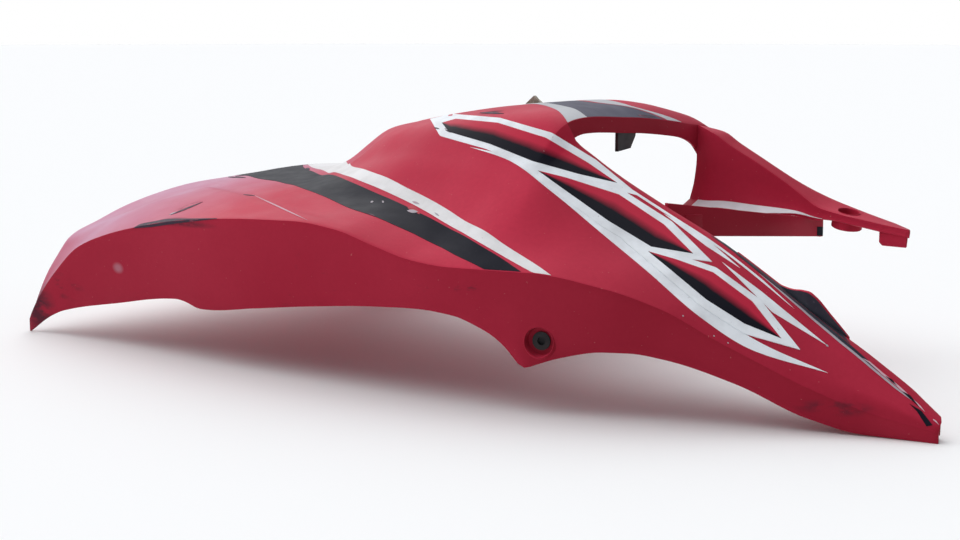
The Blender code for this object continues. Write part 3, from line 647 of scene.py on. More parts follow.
tab_centre, tab_out = tab_frame()
boss_centre, boss_out = boss_frame()
skin = mesh_object("panel_skin", skin_points, skin_quads)
add_modifier(skin, "WELD", merge_threshold=0.00005)
add_modifier(skin, "SOLIDIFY", thickness=WALL, offset=-1.0, use_even_offset=False)
settle(skin)
web_opening_y = float(front_edge[ARM_ROW][1]) + WEB_CLEARANCE
cut(skin, [opening_tool(FAR_OPENING[0][0], ROOF_OPENING_X, ROOF_OPENING_Y),
           opening_tool(WEB_OPENING_X, FAR_OPENING[-1][0], web_opening_y)])
add_modifier(skin, "BEVEL", width=SKIN_ROUNDING, segments=2, limit_method="ANGLE",
             angle_limit=math.radians(38))
settle(skin)
cut(skin, [bore_tool(TAB_BORE, tab_centre, tab_out), bore_tool(BOSS_BORE, boss_centre, boss_out)])

# Fittings
tab_cup = turned("tab_cup", TAB_CUP, tab_centre, tab_out)
tab_hole_back = turned("tab_hole_back", TAB_HOLE_BACK, tab_centre, tab_out)
arm_boss = turned("arm_boss", ARM_BOSS, boss_centre, boss_out)

(bar_x, bar_y, bar_top0, bar_foot0), (bar_end_x, bar_end_y, bar_top1, bar_foot1) = CROSS_BAR
bar_origin = (bar_x - MIDDLE_X, bar_y, 0.0)
bar_along = np.array([bar_end_x - bar_x, bar_end_y - bar_y, 0.0])
bar_length = float(np.linalg.norm(bar_along))
bar_outline = [(0.0, bar_foot0), (bar_length, bar_foot1), (bar_length, bar_top1), (0.0, bar_top0)]
cross_bar = upright_plate("cross_bar", bar_outline, BAR_THICKNESS, bar_origin, bar_along)

post_top = float(curves[3](bar_end_x)) - 0.5 * WALL
post_rear, post_front = POST_REACH
post_outline = [(post_rear, bar_foot1), (post_front, bar_foot1),
                (post_front, post_top), (post_rear, post_top)]
bar_post = upright_plate("bar_post", post_outline, BAR_THICKNESS,
                         (bar_end_x - MIDDLE_X, bar_end_y - POST_SIDE, 0.0))

arm_end = ARM[-1][0]
tongue_top = float(curves[1](arm_end)) - TONGUE_SINK
tongue_foot = tongue_top - TONGUE_DEPTH
tongue_outline = [(TONGUE_START, float(curves[1](TONGUE_START)) - TONGUE_SINK),
                  (TONGUE_START, tongue_foot + TONGUE_CHAMFER),
                  (TONGUE_START + TONGUE_CHAMFER, tongue_foot),
                  (arm_end + TONGUE_FOOT_REACH, tongue_foot),
                  (arm_end + TONGUE_TOP_REACH, tongue_top)]
tongue_origin = (-MIDDLE_X, float(curves[0](arm_end)) + TONGUE_SIDE, 0.0)
arm_tongue = upright_plate("arm_tongue", tongue_outline, TONGUE_THICKNESS, tongue_origin, rounding=0.0008)


def fin_grid(x, low, high):
    """Fin face: from the far edge up to its rise, leaning back in step with the rise."""
    edge = far_edge(x)[1]
    rise = fin_rise(x)
    t = np.linspace(low, high, 5)[None, :, None]
    root = edge - np.array([0.0, 0.0, FIN_ROOT])
    top = edge + np.stack([0 * x, -FIN_LEAN * rise, rise], 1)
    return (1.0 - t) * root[:, None] + t * top[:, None]


fin_x = np.linspace(FIN[0][0], FIN[-1][0], 60)
fin_points, fin_quads = join_grids([(fin_grid(fin_x, 0.0, 1.0), False)])
beak_fin = mesh_object("beak_fin", fin_points, fin_quads)
add_modifier(beak_fin, "SOLIDIFY", thickness=FIN_THICKNESS, offset=-1.0)
add_modifier(beak_fin, "BEVEL", width=0.0005, segments=2, limit_method="ANGLE")
settle(beak_fin)
shell_pieces = [skin, tab_cup, arm_boss, cross_bar, bar_post, arm_tongue, beak_fin]


# Printed films
def sight_line(pixel):
    """Direction from the camera through a pixel of the photograph's frame."""
    forward = Vector((-math.sin(CAMERA_AZIMUTH) * math.cos(CAMERA_PITCH),
                      math.cos(CAMERA_AZIMUTH) * math.cos(CAMERA_PITCH), -math.sin(CAMERA_PITCH)))
    right = Vector((math.cos(CAMERA_AZIMUTH), math.sin(CAMERA_AZIMUTH), 0.0))
    focal = CAMERA_LENS / SENSOR_WIDTH * FRAME_WIDTH
    return (forward * focal + right * (pixel[0] - 0.5 * FRAME_WIDTH)
            - right.cross(forward) * (pixel[1] - 0.5 * FRAME_HEIGHT)).normalized()


def on_skin(starts, directions):
    """Place and outward direction where each line first meets the skin, and whether it does."""
    places, outs, met = [], [], []
    for start, direction in zip(starts, directions):
        place, out, _, _ = skin_tree.ray_cast(Vector(start), Vector(direction))
        met.append(place is not None)
        if place is None:
            place, out = Vector(start), -Vector(direction)
        places.append(tuple(place))
        outs.append(tuple(out if Vector(direction).dot(out) < 0 else -out))
    return np.array(places), np.array(outs), np.array(met)


def seen(pixels):
    """Skin points behind pixels of the photograph."""
    return on_skin([CAMERA_AT] * len(pixels), [sight_line(p) for p in pixels])


def from_above(plan):
    """Skin points under plan points."""
    return on_skin([(x, y, 0.5) for x, y in plan], [(0, 0, -1)] * len(plan))


def edge_line(points, count, rounded):
    """Points at equal shares of a line's length, on straight runs or on a smooth curve."""
    points = np.array(points, float)
    length = np.concatenate([[0.0], np.cumsum(np.linalg.norm(np.diff(points, axis=0), axis=1))])
    share = np.linspace(0.0, length[-1], count)
    if rounded:
        return np.stack([smooth_curve(length, column)(share) for column in points.T], 1)
    return np.stack([np.interp(share, length, column) for column in points.T], 1)


def soften(outs):
    """Outward directions averaged with their neighbours."""
    padded = np.pad(outs, ((1, 1), (1, 1), (0, 0)), mode="edge")
    total = sum(padded[i:i + outs.shape[0], j:j + outs.shape[1]] for i in range(3) for j in range(3))
    return total / np.maximum(np.linalg.norm(total, axis=-1, keepdims=True), 1e-9)


def sheet(name, patches, lift=FILM):
    """Closed print over grids of skin points: each lifted outward, then given thickness inward."""
    points, faces, shares, count = [], [], [], 0
    for grid, outs, met in patches:
        rows, across = grid.shape[:2]
        outs = soften(outs)
        quads = grid_faces(rows, across, count, False)
        quads = quads[met.reshape(-1)[quads - count].all(axis=1)]
        corners = (grid + lift * outs).reshape(-1, 3)
        first = corners[quads[:, :3] - count]
        turn = np.cross(first[:, 1] - first[:, 0], first[:, 2] - first[:, 0])
        if (turn * outs.reshape(-1, 3)[quads[:, 0] - count]).sum() < 0:
            quads = quads[:, ::-1]
        points.append(corners)
        faces.append(quads)
        shares.append(np.tile(np.linspace(0.0, 1.0, across), rows))
        count += rows * across
    obj = mesh_object(name, np.concatenate(points), np.concatenate(faces))
    field = obj.data.attributes.new("share", "FLOAT", "POINT")
    field.data.foreach_set("value", np.concatenate(shares).astype(np.float32))
    work = bmesh.new()
    work.from_mesh(obj.data)
    bmesh.ops.dissolve_degenerate(work, edges=work.edges, dist=0.00004)
    bmesh.ops.delete(work, geom=[v for v in work.verts if not v.link_faces], context="VERTS")
    work.to_mesh(obj.data)
    work.free()
    add_modifier(obj, "SOLIDIFY", thickness=lift + FILM_ROOT, offset=-1.0)
    return settle(obj, 60.0)


def laid(edge_a, edge_b, place=seen, count=90, across=9, rounded=True, limit=None):
    """Grid between two edge lines, the straight mix of the two, laid on the skin."""
    a = edge_line(edge_a, count, rounded)
    b = edge_line(edge_b, count, rounded)
    t = np.linspace(0.0, 1.0, across)[None, :, None]
    flat = (1.0 - t) * a[:, None] + t * b[:, None]
    if limit is not None:
        flat = limit(flat)
    points, outs, met = place(flat.reshape(-1, 2))
    return points.reshape(count, across, 3), outs.reshape(count, across, 3), met


def own_outs(grid, toward):
    """Grid with its own directions, all on the side of the given one."""
    outs = np.cross(np.gradient(grid, axis=0), np.gradient(grid, axis=1))
    outs /= np.maximum(np.linalg.norm(outs, axis=-1, keepdims=True), 1e-12)
    outs *= np.sign((outs * np.array(toward)).sum(-1).mean())
    return grid, outs, np.ones(grid.shape[0] * grid.shape[1], bool)


def film(name, edge_a, edge_b, place=seen, count=90, across=9, rounded=True, lift=FILM):
    """One print between two edge lines."""
    return sheet(name, [laid(edge_a, edge_b, place, count, across, rounded)], lift)


def strip_guides(rows, count):
    """Stations of a strip with its two side values at each."""
    rows = np.array(rows)
    x = np.linspace(rows[0, 0], rows[-1, 0], count)
    return x, np.interp(x, rows[:, 0], rows[:, 1]), np.interp(x, rows[:, 0], rows[:, 2])


def ridge_strip(rows):
    """Strip of the near flank between two distances down from the ridge."""
    x, high, low = strip_guides(rows, 90)
    section = near_side(x)[:, ::-1]
    length = np.cumsum(np.linalg.norm(np.diff(section, axis=1), axis=2), axis=1)
    length = np.hstack([np.zeros((len(x), 1)), length])
    depth = np.linspace(high, low, 5, axis=1)
    grid = np.empty(depth.shape + (3,))
    for i, k in np.ndindex(len(x), 3):
        grid[i, :, k] = np.interp(depth[i], length[i], section[i, :, k])
    return own_outs(grid, (0, -1, 1))


def facet_strip(rows):
    """Strip of the narrow centre facet between two shares of its width."""
    x, low, high = strip_guides(rows, 80)
    ridge, edge = far_edge(x)
    t = np.linspace(0.0, 1.0, 5)[None, :] * (high - low)[:, None] + low[:, None]
    grid = ridge[:, None] + t[..., None] * (edge - ridge)[:, None]
    return own_outs(slanted(grid, x), (0, 0, 1))


def fleck(x, y, half_length, half_width, degrees):
    """Lens shape round a pixel, its half width falling off as a parabola along it."""
    s = np.linspace(-1.0, 1.0, 9)
    turn = math.radians(degrees)
    along = np.array([math.cos(turn), math.sin(turn)]) * half_length
    over = np.array([-math.sin(turn), math.cos(turn)]) * half_width
    middle = np.array([x, y]) + s[:, None] * along
    bow = (1.0 - s ** 2)[:, None] * over
    return laid(middle - bow, middle + bow, count=9, across=3, rounded=False)


def far_limit_y(x):
    """How far out the far skin reaches above its opening, at plan stations."""
    section = roof(np.atleast_1d(x) + MIDDLE_X)[:, SPAN_ROWS:]
    edge = opening_up(np.atleast_1d(x) + MIDDLE_X)
    limit = []
    for row, height in zip(section, edge):
        above = np.maximum.accumulate(row[::-1, 2])[::-1]
        limit.append(np.interp(-height, -above, row[:, 1]))
    return np.minimum(np.array(limit), crease_out(np.atleast_1d(x) + MIDDLE_X)) - FAR_MARGIN


def keep_near(flat):
    """Plan points kept on the near wing, inside its crease."""
    flat[..., 1] = np.maximum(flat[..., 1], -(crease_out(flat[..., 0] + MIDDLE_X) - NEAR_MARGIN))
    return flat


def keep_far(flat):
    """Plan points kept on the far wing, inside its crease and its opening."""
    limit = far_limit_y(flat[..., 0].ravel()).reshape(flat.shape[:2])
    flat[..., 1] = np.minimum(flat[..., 1], limit)
    return flat


# Wing bands: pixels of each edge from the wing's top to its crease, then plan points beyond the top
BLACK_BAND_REAR = [
    (258, 178.6), (272, 180.6), (306.7, 189.9), (328.4, 198.4), (358.8, 211.4), (371.8, 215.6),
    (395, 225.5), (416, 235), (437.1, 245.5), (458.1, 256.6), (484, 269.4)]
BLACK_BAND_FRONT = [
    (332, 175), (346, 180), (360.2, 186), (374.2, 192.3), (388.2, 198.2), (416, 211.3), (437.1, 221.8),
    (458.1, 232.9), (479.2, 245), (500.2, 257.6), (521, 271.8)]
WHITE_BAND_REAR = [
    (339, 173.3), (346, 175.7), (360.2, 180.9), (374.2, 186.4), (395, 195.7), (416, 206),
    (437.1, 218.1), (458.1, 230.2), (479.2, 242.3), (500.2, 254.5), (534, 274.6)]
WHITE_BAND_FRONT = [
    (352, 166.3), (360.2, 168.4), (374.2, 173), (388.2, 178.2), (401.3, 185), (421.3, 195),
    (447.6, 209.7), (473.9, 225.5), (500.2, 241.8), (526.5, 258.7), (551, 275.6)]
BAND_MIDDLE = {"black_rear": [(-0.412, 0.0), (-0.352, -0.046)],
               "black_front": [(-0.307, 0.0), (-0.276, -0.0295), (-0.240, -0.054)],
               "white_rear": [(-0.300, 0.0), (-0.268, -0.0269), (-0.2315, -0.049)],
               "white_front": [(-0.250, 0.0), (-0.182, -0.061)]}


def wing_edge(pixels, middle):
    """Band edge in plan, from the middle plane out to the near crease."""
    places, _, met = seen(pixels)
    return middle + [(p[0], p[1]) for p, there in zip(places, met) if there]


def wing_band(name, rear, front):
    """Band over both wings: the near one as seen, the far one its mirror image."""
    rear_line = wing_edge(rear, BAND_MIDDLE[name + "_rear"])
    front_line = wing_edge(front, BAND_MIDDLE[name + "_front"])
    near = laid(rear_line, front_line, from_above, count=170, across=17, limit=keep_near)
    mirror = [[(x, -y) for x, y in line] for line in (rear_line, front_line)]
    far = laid(*mirror, from_above, count=170, across=17, limit=keep_far)
    return [sheet(name + "_band_near", [near]), sheet(name + "_band_far", [far])]


black_band = wing_band("black", BLACK_BAND_REAR, BLACK_BAND_FRONT)
white_band = wing_band("white", WHITE_BAND_REAR, WHITE_BAND_FRONT)

# Prints over the roof's front, in plan: near edge, far edge
ROOF_PRINTS = {
    "roof_white": ([(0.0962, -0.0885), (0.0294, -0.0365), (-0.060, 0.034)],
                   [(0.0962, -0.0605), (0.0444, -0.0331), (-0.050, 0.036)]),
    "roof_black": ([(0.0962, -0.0600), (0.0444, -0.0327), (-0.050, 0.0365)],
                   [(0.0962, 0.0600), (0.0500, 0.0120), (-0.020, 0.045)]),
    "roof_line": ([(0.0962, 0.0660), (0.0520, 0.0175), (-0.010, 0.046)],
                  [(0.0962, 0.0900), (0.0700, 0.0420), (0.0050, 0.055)]),
}
roof_films = {key: film(key, *edges, from_above, count=60, across=15) for key, edges in ROOF_PRINTS.items()}

# Blades along the near flank, in pixels: outline, then its shaded heart
BLADES = [
    ([(430, 119), (452, 114), (500, 118), (552, 133), (596, 160), (640, 196)],
     [(430, 119), (440, 136), (486, 149), (530, 168), (584, 182), (640, 196)],
     [(442, 123), (456, 119), (498, 123), (546, 138), (588, 163), (617, 183)],
     [(442, 123), (449, 132), (490, 144), (532, 161), (578, 174), (617, 183)]),
    ([(512, 160), (560, 172), (622, 190), (672, 222), (712, 262)],
     [(512, 160), (552, 190), (604, 228), (648, 254), (712, 262)],
     [(538, 171), (566, 178), (619, 195), (664, 225), (693, 254)],
     [(538, 171), (560, 187), (608, 221), (651, 247), (693, 254)]),
    ([(622, 240), (668, 252), (716, 268), (760, 300), (800, 350)],
     [(622, 240), (660, 272), (700, 306), (744, 334), (800, 350)],
     [(648, 252), (676, 260), (713, 273), (752, 302), (781, 339)],
     [(648, 252), (670, 270), (706, 300), (744, 324), (781, 339)]),
]

# White sweep under the blades and two dashes beside it, in pixels: one edge, the other edge
SWEEP_LOWER = [
    (470, 147), (508, 160), (552, 192), (600, 232), (648, 272), (700, 317), (752, 350), (828, 373)]
SWEEP_UPPER = [
    (470, 147), (516, 158), (561, 188), (612, 230), (660, 268), (708, 308), (757, 341), (828, 373)]
DASHES = [([(664, 214), (700, 233), (740, 268)], [(664, 214), (706, 246), (740, 268)]),
          ([(722, 262), (762, 292), (828, 346)], [(722, 262), (772, 312), (828, 346)])]

# Strips along the ridge: station x, near and far distance from the ridge, or shares of the facet
RIDGE_LINE = [(0.112, 0.0046, 0.0047), (0.122, 0.0036, 0.0062), (0.200, 0.0034, 0.0060),
              (0.290, 0.0046, 0.0066), (0.318, 0.0072, 0.0073)]
RIDGE_DARK = [(0.262, 0.0002, 0.0003), (0.300, 0.0002, 0.0016), (0.333, 0.0002, 0.0027),
              (0.355, 0.0002, 0.0030), (0.380, 0.0002, 0.0020), (0.394, 0.0002, 0.0003)]
# Painted highlight: the sky's glint on the ridge's rounded edge towards the nose
RIDGE_PAINTED_HIGHLIGHT = [(0.285, 0.0014, 0.0015), (0.308, 0.0017, 0.0030), (0.333, 0.0028, 0.0046),
              (0.355, 0.0031, 0.0050), (0.380, 0.0021, 0.0038), (0.400, 0.0009, 0.0026),
              (0.414, 0.0002, 0.0008)]
FACET_DARK = [(0.240, 0.10, 0.30), (0.250, 0.06, 0.94), (0.352, 0.06, 0.94), (0.362, 0.05, 0.10)]
FIN_DARK_X = (0.300, 0.3565)
FLANGE_PRINT_END = 0.246

# Prints and lines on the nose, in pixels: one edge, the other edge
NOSE_SLOT = ([(909.5, 403.8), (917, 411.5), (926.5, 426.4)], [(909.5, 403.8), (921.5, 411), (932.6, 425.2)])
NOSE_DARTS = [
    ([(902, 391.4), (910, 399), (918.8, 406.4)], [(902, 391.4), (910, 395.5), (918.8, 406.4)]),
    ([(885, 376), (891, 381.5), (897, 386)], [(885, 376), (892, 379.8), (897, 386)])]
NOSE_LONG_LINE = (
    [(862, 358), (869, 362.8), (882, 374.6), (897, 386.6), (920, 407.4), (925, 412)],
    [(862, 358), (869.6, 361.6), (882.8, 373), (898, 385.2), (920.8, 406.4), (925, 412)])
NOSE_SHORT_LINE = ([(933, 420), (936, 422.4), (939, 425)], [(933.4, 419), (936.6, 421.4), (939, 425)])

# Long scuff on the crease, in pixels: lower edge, upper edge
CREASE_SCUFF = ([(133, 228.4), (151.7, 227), (170, 224.4), (188.5, 222), (217, 218.8)],
                [(133, 228.2), (141, 224), (153, 221.6), (170, 218.9), (217, 218.4)])

# Nicks, flecks, chips and painted highlights, in pixels: middle x and y, half length, half width, turn in
# degrees
DARK_NICKS = [
    (187, 208.5, 17, 0.7, -22), (249, 195.3, 6, 0.4, 5), (232, 176.8, 14, 0.9, 4),
    (308, 168.9, 2.2, 0.9, 10), (449, 131.5, 4, 0.8, 20), (437, 128.5, 3, 0.7, 15),
    (492, 113.2, 12, 0.8, 2), (647, 116.4, 10, 1.1, 6), (684.5, 270, 1.2, 0.7, 40),
    (371, 214.6, 5, 0.7, 22)]
# Pale flecks are scratches; the dots at pixels 683, 714 and 728 are painted glints
PALE_FLECKS_AND_GLINTS = [
    (372, 202, 1.6, 0.8, -20), (383, 202, 1.2, 1.0, 60), (173, 213.5, 4, 0.6, -22),
    (446, 129, 1.6, 0.9, 30), (454, 127, 1.2, 0.8, 60), (461, 131, 1.0, 0.8, 0),
    (683, 316, 1.0, 0.6, 40), (714, 336, 1.0, 0.6, 40), (728, 343, 1.0, 0.6, 40),
    (827, 345.5, 2.0, 0.8, 40)]
# Painted highlight along the wing's soft crest
CREST_PAINTED_HIGHLIGHT = [(280, 207.5, 30, 0.55, 25)]
RED_CHIPS = [(412.5, 208.5, 5.0, 3.0, 10), (418, 212, 3.0, 1.4, 60)]
WORN_RIMS = [(412.5, 211.5, 5.5, 1.6, 6), (416, 203, 4, 1.0, 20), (437, 214.5, 3, 0.8, 35)]

blade_edges, blade_hearts = [], []
for index, (outer_a, outer_b, heart_a, heart_b) in enumerate(BLADES):
    rise = FILM * (1.2 + index)
    name = f"blade_{index + 1}"
    fine = {"count": 110, "across": 13, "rounded": False}
    blade_edges.append(film(name + "_edge", outer_a, outer_b, lift=rise, **fine))
    blade_hearts.append(film(name + "_heart", heart_a, heart_b, lift=rise + 0.6 * FILM, **fine))
dashes = [laid(a, b, count=60, across=7, rounded=False) for a, b in DASHES]
flank_whites = [film("flank_sweep", SWEEP_LOWER, SWEEP_UPPER, count=140, lift=0.9 * FILM),
                sheet("flank_dashes", dashes),
                sheet("ridge_line", [ridge_strip(RIDGE_LINE)])]
fin_dark_face = fin_grid(np.linspace(*FIN_DARK_X, 60), 0.10, 0.97)
# Black strips on the ridge, facet and fin, in an ink lightened to paint the sky's reflection on their gloss
sheened_black_prints = [sheet("ridge_dark", [ridge_strip(RIDGE_DARK)]),
               sheet("facet_dark", [facet_strip(FACET_DARK)]),
               sheet("fin_dark", [own_outs(fin_dark_face, (0, -1, 0))])]
darts = [laid(a, b, count=30, across=4, rounded=False) for a, b in NOSE_DARTS]
nose_prints = [film("nose_slot", *NOSE_SLOT, count=40, across=5, rounded=False),
               sheet("nose_darts", darts, 1.6 * FILM)]
# Pale sheet on the ridge: painted highlight
ridge_painted_highlight = sheet("ridge_painted_highlight", [ridge_strip(RIDGE_PAINTED_HIGHLIGHT)])
long_line = laid(*NOSE_LONG_LINE, count=80, across=3, rounded=False)
short_line = laid(*NOSE_SHORT_LINE, count=12, across=3, rounded=False)
nose_lines = sheet("nose_lines", [long_line, short_line], 1.3 * FILM)
flange_end = int(np.searchsorted(arm_x, FLANGE_PRINT_END))
flange_face = web_grid[2:flange_end, -(FLANGE_ROWS + 1):]
flange_print = sheet("flange_print", [own_outs(flange_face, (0, -1, 1))])


def bar_face(low, high, share_up):
    """Lower part of the cross bar's front face: the straight mix of its foot and top lines."""
    rows = 8
    direction = bar_along / bar_length
    side = np.array([direction[1], -direction[0], 0.0])
    s = np.linspace(low, high, rows)
    share = s / bar_length
    foot = (1.0 - share) * bar_foot0 + share * bar_foot1 + BAR_MARGIN
    top = (1.0 - share) * bar_top0 + share * bar_top1 - BAR_MARGIN
    t = np.linspace(0.0, share_up, rows)[None, :, None]
    base = np.array(bar_origin) + s[:, None] * direction + 0.5 * BAR_THICKNESS * side
    height = (1.0 - t) * foot[:, None, None] + t * top[:, None, None]
    return own_outs(base[:, None] + height * np.array([0.0, 0.0, 1.0]), (1, 0, 0))


# Black sheet at the bar's far end: painted shade in the corner under the arm
bar_end_shade_face = bar_face(bar_length - BAR_END_SHADE_LENGTH, bar_length - BAR_MARGIN, BAR_END_SHADE_SHARE)
bar_end_painted_shade = sheet("bar_end_painted_shade", [bar_end_shade_face])
bar_pad = upright_plate("bar_pad", BAR_PAD, PAD_THICKNESS, bar_origin, bar_along, rounding=0.0004)
shell_pieces.append(bar_pad)


def flecks(name, rows, lift):
    """One print of several flecks."""
    return sheet(name, [fleck(*row) for row in rows], lift * FILM)


crease_scuff = film("crease_scuff", *CREASE_SCUFF, count=80, across=7)
dark_nicks = flecks("dark_nicks", DARK_NICKS, 1.5)
pale_flecks_and_glints = flecks("pale_flecks_and_glints", PALE_FLECKS_AND_GLINTS, 1.5)
crest_painted_highlight = flecks("crest_painted_highlight", CREST_PAINTED_HIGHLIGHT, 1.5)
red_chips = flecks("red_chips", RED_CHIPS, 1.7)
worn_rims = flecks("worn_rims", WORN_RIMS, 1.9)


# Materials
class Finish:
    """Principled material with constant sockets, and patterns on the object's own coordinates."""

    def __init__(self, name, colour, roughness, **sockets):
        self.material = bpy.data.materials.new(name)
        self.material.use_nodes = True
        self.tree = self.material.node_tree
        self.shader = self.tree.nodes["Principled BSDF"]
        self.shader.inputs["Base Color"].default_value = (*colour, 1.0)
        self.shader.inputs["Roughness"].default_value = roughness
        for key, value in sockets.items():
            label = key.replace("_", " ").title().replace("Ior", "IOR")
            self.shader.inputs[label].default_value = value

    def feed(self, socket, value):
        """Link another socket to this one, or set its value."""
        if isinstance(value, bpy.types.NodeSocket):
            self.tree.links.new(value, socket)
        else:
            socket.default_value = value

    def node(self, kind, **settings):
        """New shader node with its settings and its inputs."""
        made = self.tree.nodes.new("ShaderNode" + kind)
        for key, value in settings.items():
            if key in made.inputs:
                self.feed(made.inputs[key], value)
            else:
                setattr(made, key, value)
        return made

    def place(self):
        """The object's own coordinates."""
        return self.node("TexCoord").outputs["Object"]

    def noise(self, scale, detail, rough=0.55, stretch=(1.0, 1.0, 1.0)):
        """Noise on the object's own coordinates."""
        spot = self.node("Mapping", Vector=self.place(), Scale=stretch).outputs["Vector"]
        return self.node("TexNoise", Vector=spot, Scale=scale, Detail=detail, Roughness=rough).outputs["Fac"]

    def remap(self, source, low, high, out_low=0.0, out_high=1.0):
        """Clamped straight map of one range onto another."""
        ranges = {"Value": source, "From Min": low, "From Max": high, "To Min": out_low, "To Max": out_high}
        return self.node("MapRange", **ranges).outputs["Result"]

    def patches(self, scale, detail, low, high, out_low=0.0, out_high=1.0):
        """Noise with its range from low to high mapped onto another range."""
        return self.remap(self.noise(scale, detail), low, high, out_low, out_high)

    def combine(self, operation, a, b):
        """Sum, product or other result of two values."""
        made = self.node("Math", operation=operation)
        self.feed(made.inputs[0], a)
        self.feed(made.inputs[1], b)
        return made.outputs["Value"]

    def times(self, a, b):
        """Product of two values."""
        return self.combine("MULTIPLY", a, b)

    def mix(self, factor, a, b):
        """Blend two colours by a factor."""
        made = self.node("Mix", data_type="RGBA")
        for index, value in ((0, factor), (6, a), (7, b)):
            self.feed(made.inputs[index], (*value, 1.0) if isinstance(value, tuple) else value)
        return made.outputs[2]

    def near(self, centre, radii):
        """Falls from 1 about a point to 0 at its radii along X, Y and Z."""
        shift = [-c / r for c, r in zip(centre, radii)]
        mapping = self.node("Mapping", Vector=self.place(), Location=shift, Scale=[1.0 / r for r in radii])
        length = self.node("VectorMath", operation="LENGTH")
        self.feed(length.inputs[0], mapping.outputs["Vector"])
        return self.remap(length.outputs["Value"], 0.35, 1.0, 1.0, 0.0)

    def surface(self, colour, roughness, height, strength, distance):
        """Plug colour, roughness and bump height into the shader."""
        bump = self.node("Bump", Strength=strength, Distance=distance, Height=height)
        self.feed(self.shader.inputs["Base Color"], colour)
        self.feed(self.shader.inputs["Roughness"], roughness)
        self.feed(self.shader.inputs["Normal"], bump.outputs["Normal"])
        return self.material


# Dark scuffs on the moulding: middle, radii, how much of the noise shows
SCUFFS = [
    ((-0.418, -0.252, 0.024), (0.028, 0.030, 0.030), 0.36),
    ((-0.385, -0.252, 0.050), (0.040, 0.030, 0.018), 0.52),
    ((-0.215, -0.250, 0.1255), (0.060, 0.012, 0.0045), 0.34),
    ((-0.243, -0.212, 0.132), (0.010, 0.022, 0.008), 0.50),
    ((0.350, -0.114, 0.021), (0.045, 0.020, 0.008), 0.46),
    ((0.170, -0.160, 0.110), (0.020, 0.020, 0.012), 0.60),
    ((0.110, -0.235, 0.095), (0.060, 0.030, 0.015), 0.60),
    ((-0.075, -0.252, 0.085), (0.060, 0.030, 0.030), 0.62),
    ((0.0, -0.070, 0.221), (0.018, 0.008, 0.006), 0.35)]

# Pale spot on the near wall: its pixel, its place and its radii
WALL_SPOT_PIXEL = (118, 268)
WALL_SPOT = tuple(seen([WALL_SPOT_PIXEL])[0][0])
WALL_SPOT_RADII = (0.0085, 0.0100, 0.0060)

# Colours of the moulding
RED_DEEP = (0.510, 0.025, 0.060)
RED_LIGHT = (0.575, 0.036, 0.076)
RED_GRAIN = (0.33, 0.016, 0.040)
# Painted shade: the red darkened on faces turned down or forward, away from the light
RED_PAINTED_SHADE = (0.155, 0.004, 0.009)
# Painted sky sheen, partly sun fade: the pale pink on the rear wing's upward faces
FADE_AND_PAINTED_SHEEN = (0.60, 0.40, 0.56)
DUST = (0.62, 0.30, 0.28)
PALE_SPOT = (0.48, 0.26, 0.32)
SCUFF_TONE = (0.050, 0.022, 0.034)


def red_plastic():
    """Sun-faded red: blotches, grain, painted shade on faces turned down or forward, painted sky sheen with
    some fade on the rear wing's upward faces, dust, scuffs.
    """
    red = Finish("worn_red_plastic", (0.50, 0.028, 0.062), 0.42, specular_ior_level=0.035,
                 sheen_weight=0.05, sheen_roughness=0.35, sheen_tint=(1.0, 0.80, 0.86, 1.0))
    colour = red.mix(red.patches(7.0, 5.0, 0.35, 0.68), RED_DEEP, RED_LIGHT)
    grain = red.times(red.patches(260.0, 3.0, 0.30, 0.75), 0.16)
    colour = red.mix(grain, colour, RED_GRAIN)

    # Painted shade: darker on faces turned down (less on the far side) and on faces turned forward, away
    # from the sun
    facing = red.node("SeparateXYZ", Vector=red.node("NewGeometry").outputs["Normal"]).outputs
    place = red.node("SeparateXYZ", Vector=red.place()).outputs
    far_side = red.remap(place["Y"], 0.05, 0.10, 1.0, 0.2)
    low = red.times(red.remap(facing["Z"], 0.20, 0.60, 0.32, 0.0), far_side)
    front = red.remap(facing["X"], 0.12, 0.65, 0.0, 0.42)
    colour = red.mix(red.combine("ADD", low, front), colour, RED_PAINTED_SHADE)

    # Painted sky sheen, partly sun fade: paler pink on the rear wing where its faces turn up
    rear = red.remap(place["X"], -0.370, -0.165, 1.0, 0.0)
    slope = red.combine("ADD", red.times(facing["Z"], 0.85), red.times(facing["X"], -0.52))
    sheen_and_fade = red.times(rear, red.remap(slope, 0.42, 0.90))
    sheen_and_fade = red.times(sheen_and_fade, red.patches(14.0, 6.0, 0.30, 0.75, 0.50, 0.80))
    colour = red.mix(sheen_and_fade, colour, FADE_AND_PAINTED_SHEEN)
    colour = red.mix(red.times(red.patches(420.0, 2.0, 0.735, 0.760), 0.4), colour, DUST)
    colour = red.mix(red.times(red.near(WALL_SPOT, WALL_SPOT_RADII), 0.55), colour, PALE_SPOT)

    scuffed = []
    for index, (centre, radii, least) in enumerate(SCUFFS):
        streak = red.noise(55.0 + 9.0 * index, 6.0, 0.62, (0.45, 1.0, 1.2))
        scuffed.append(red.times(red.near(centre, radii), red.remap(streak, least, least + 0.14)))
    dark = scuffed[0]
    for field in scuffed[1:]:
        dark = red.combine("MAXIMUM", dark, field)
    colour = red.mix(red.times(dark, 0.85), colour, SCUFF_TONE)
    rough = red.combine("ADD", red.patches(30.0, 6.0, 0.25, 0.80, 0.34, 0.50), red.times(dark, 0.20))
    waves = red.combine("ADD", red.noise(900.0, 2.0), red.times(red.noise(45.0, 3.0), 2.0))
    return red.surface(colour, rough, waves, 0.05, 0.0004)


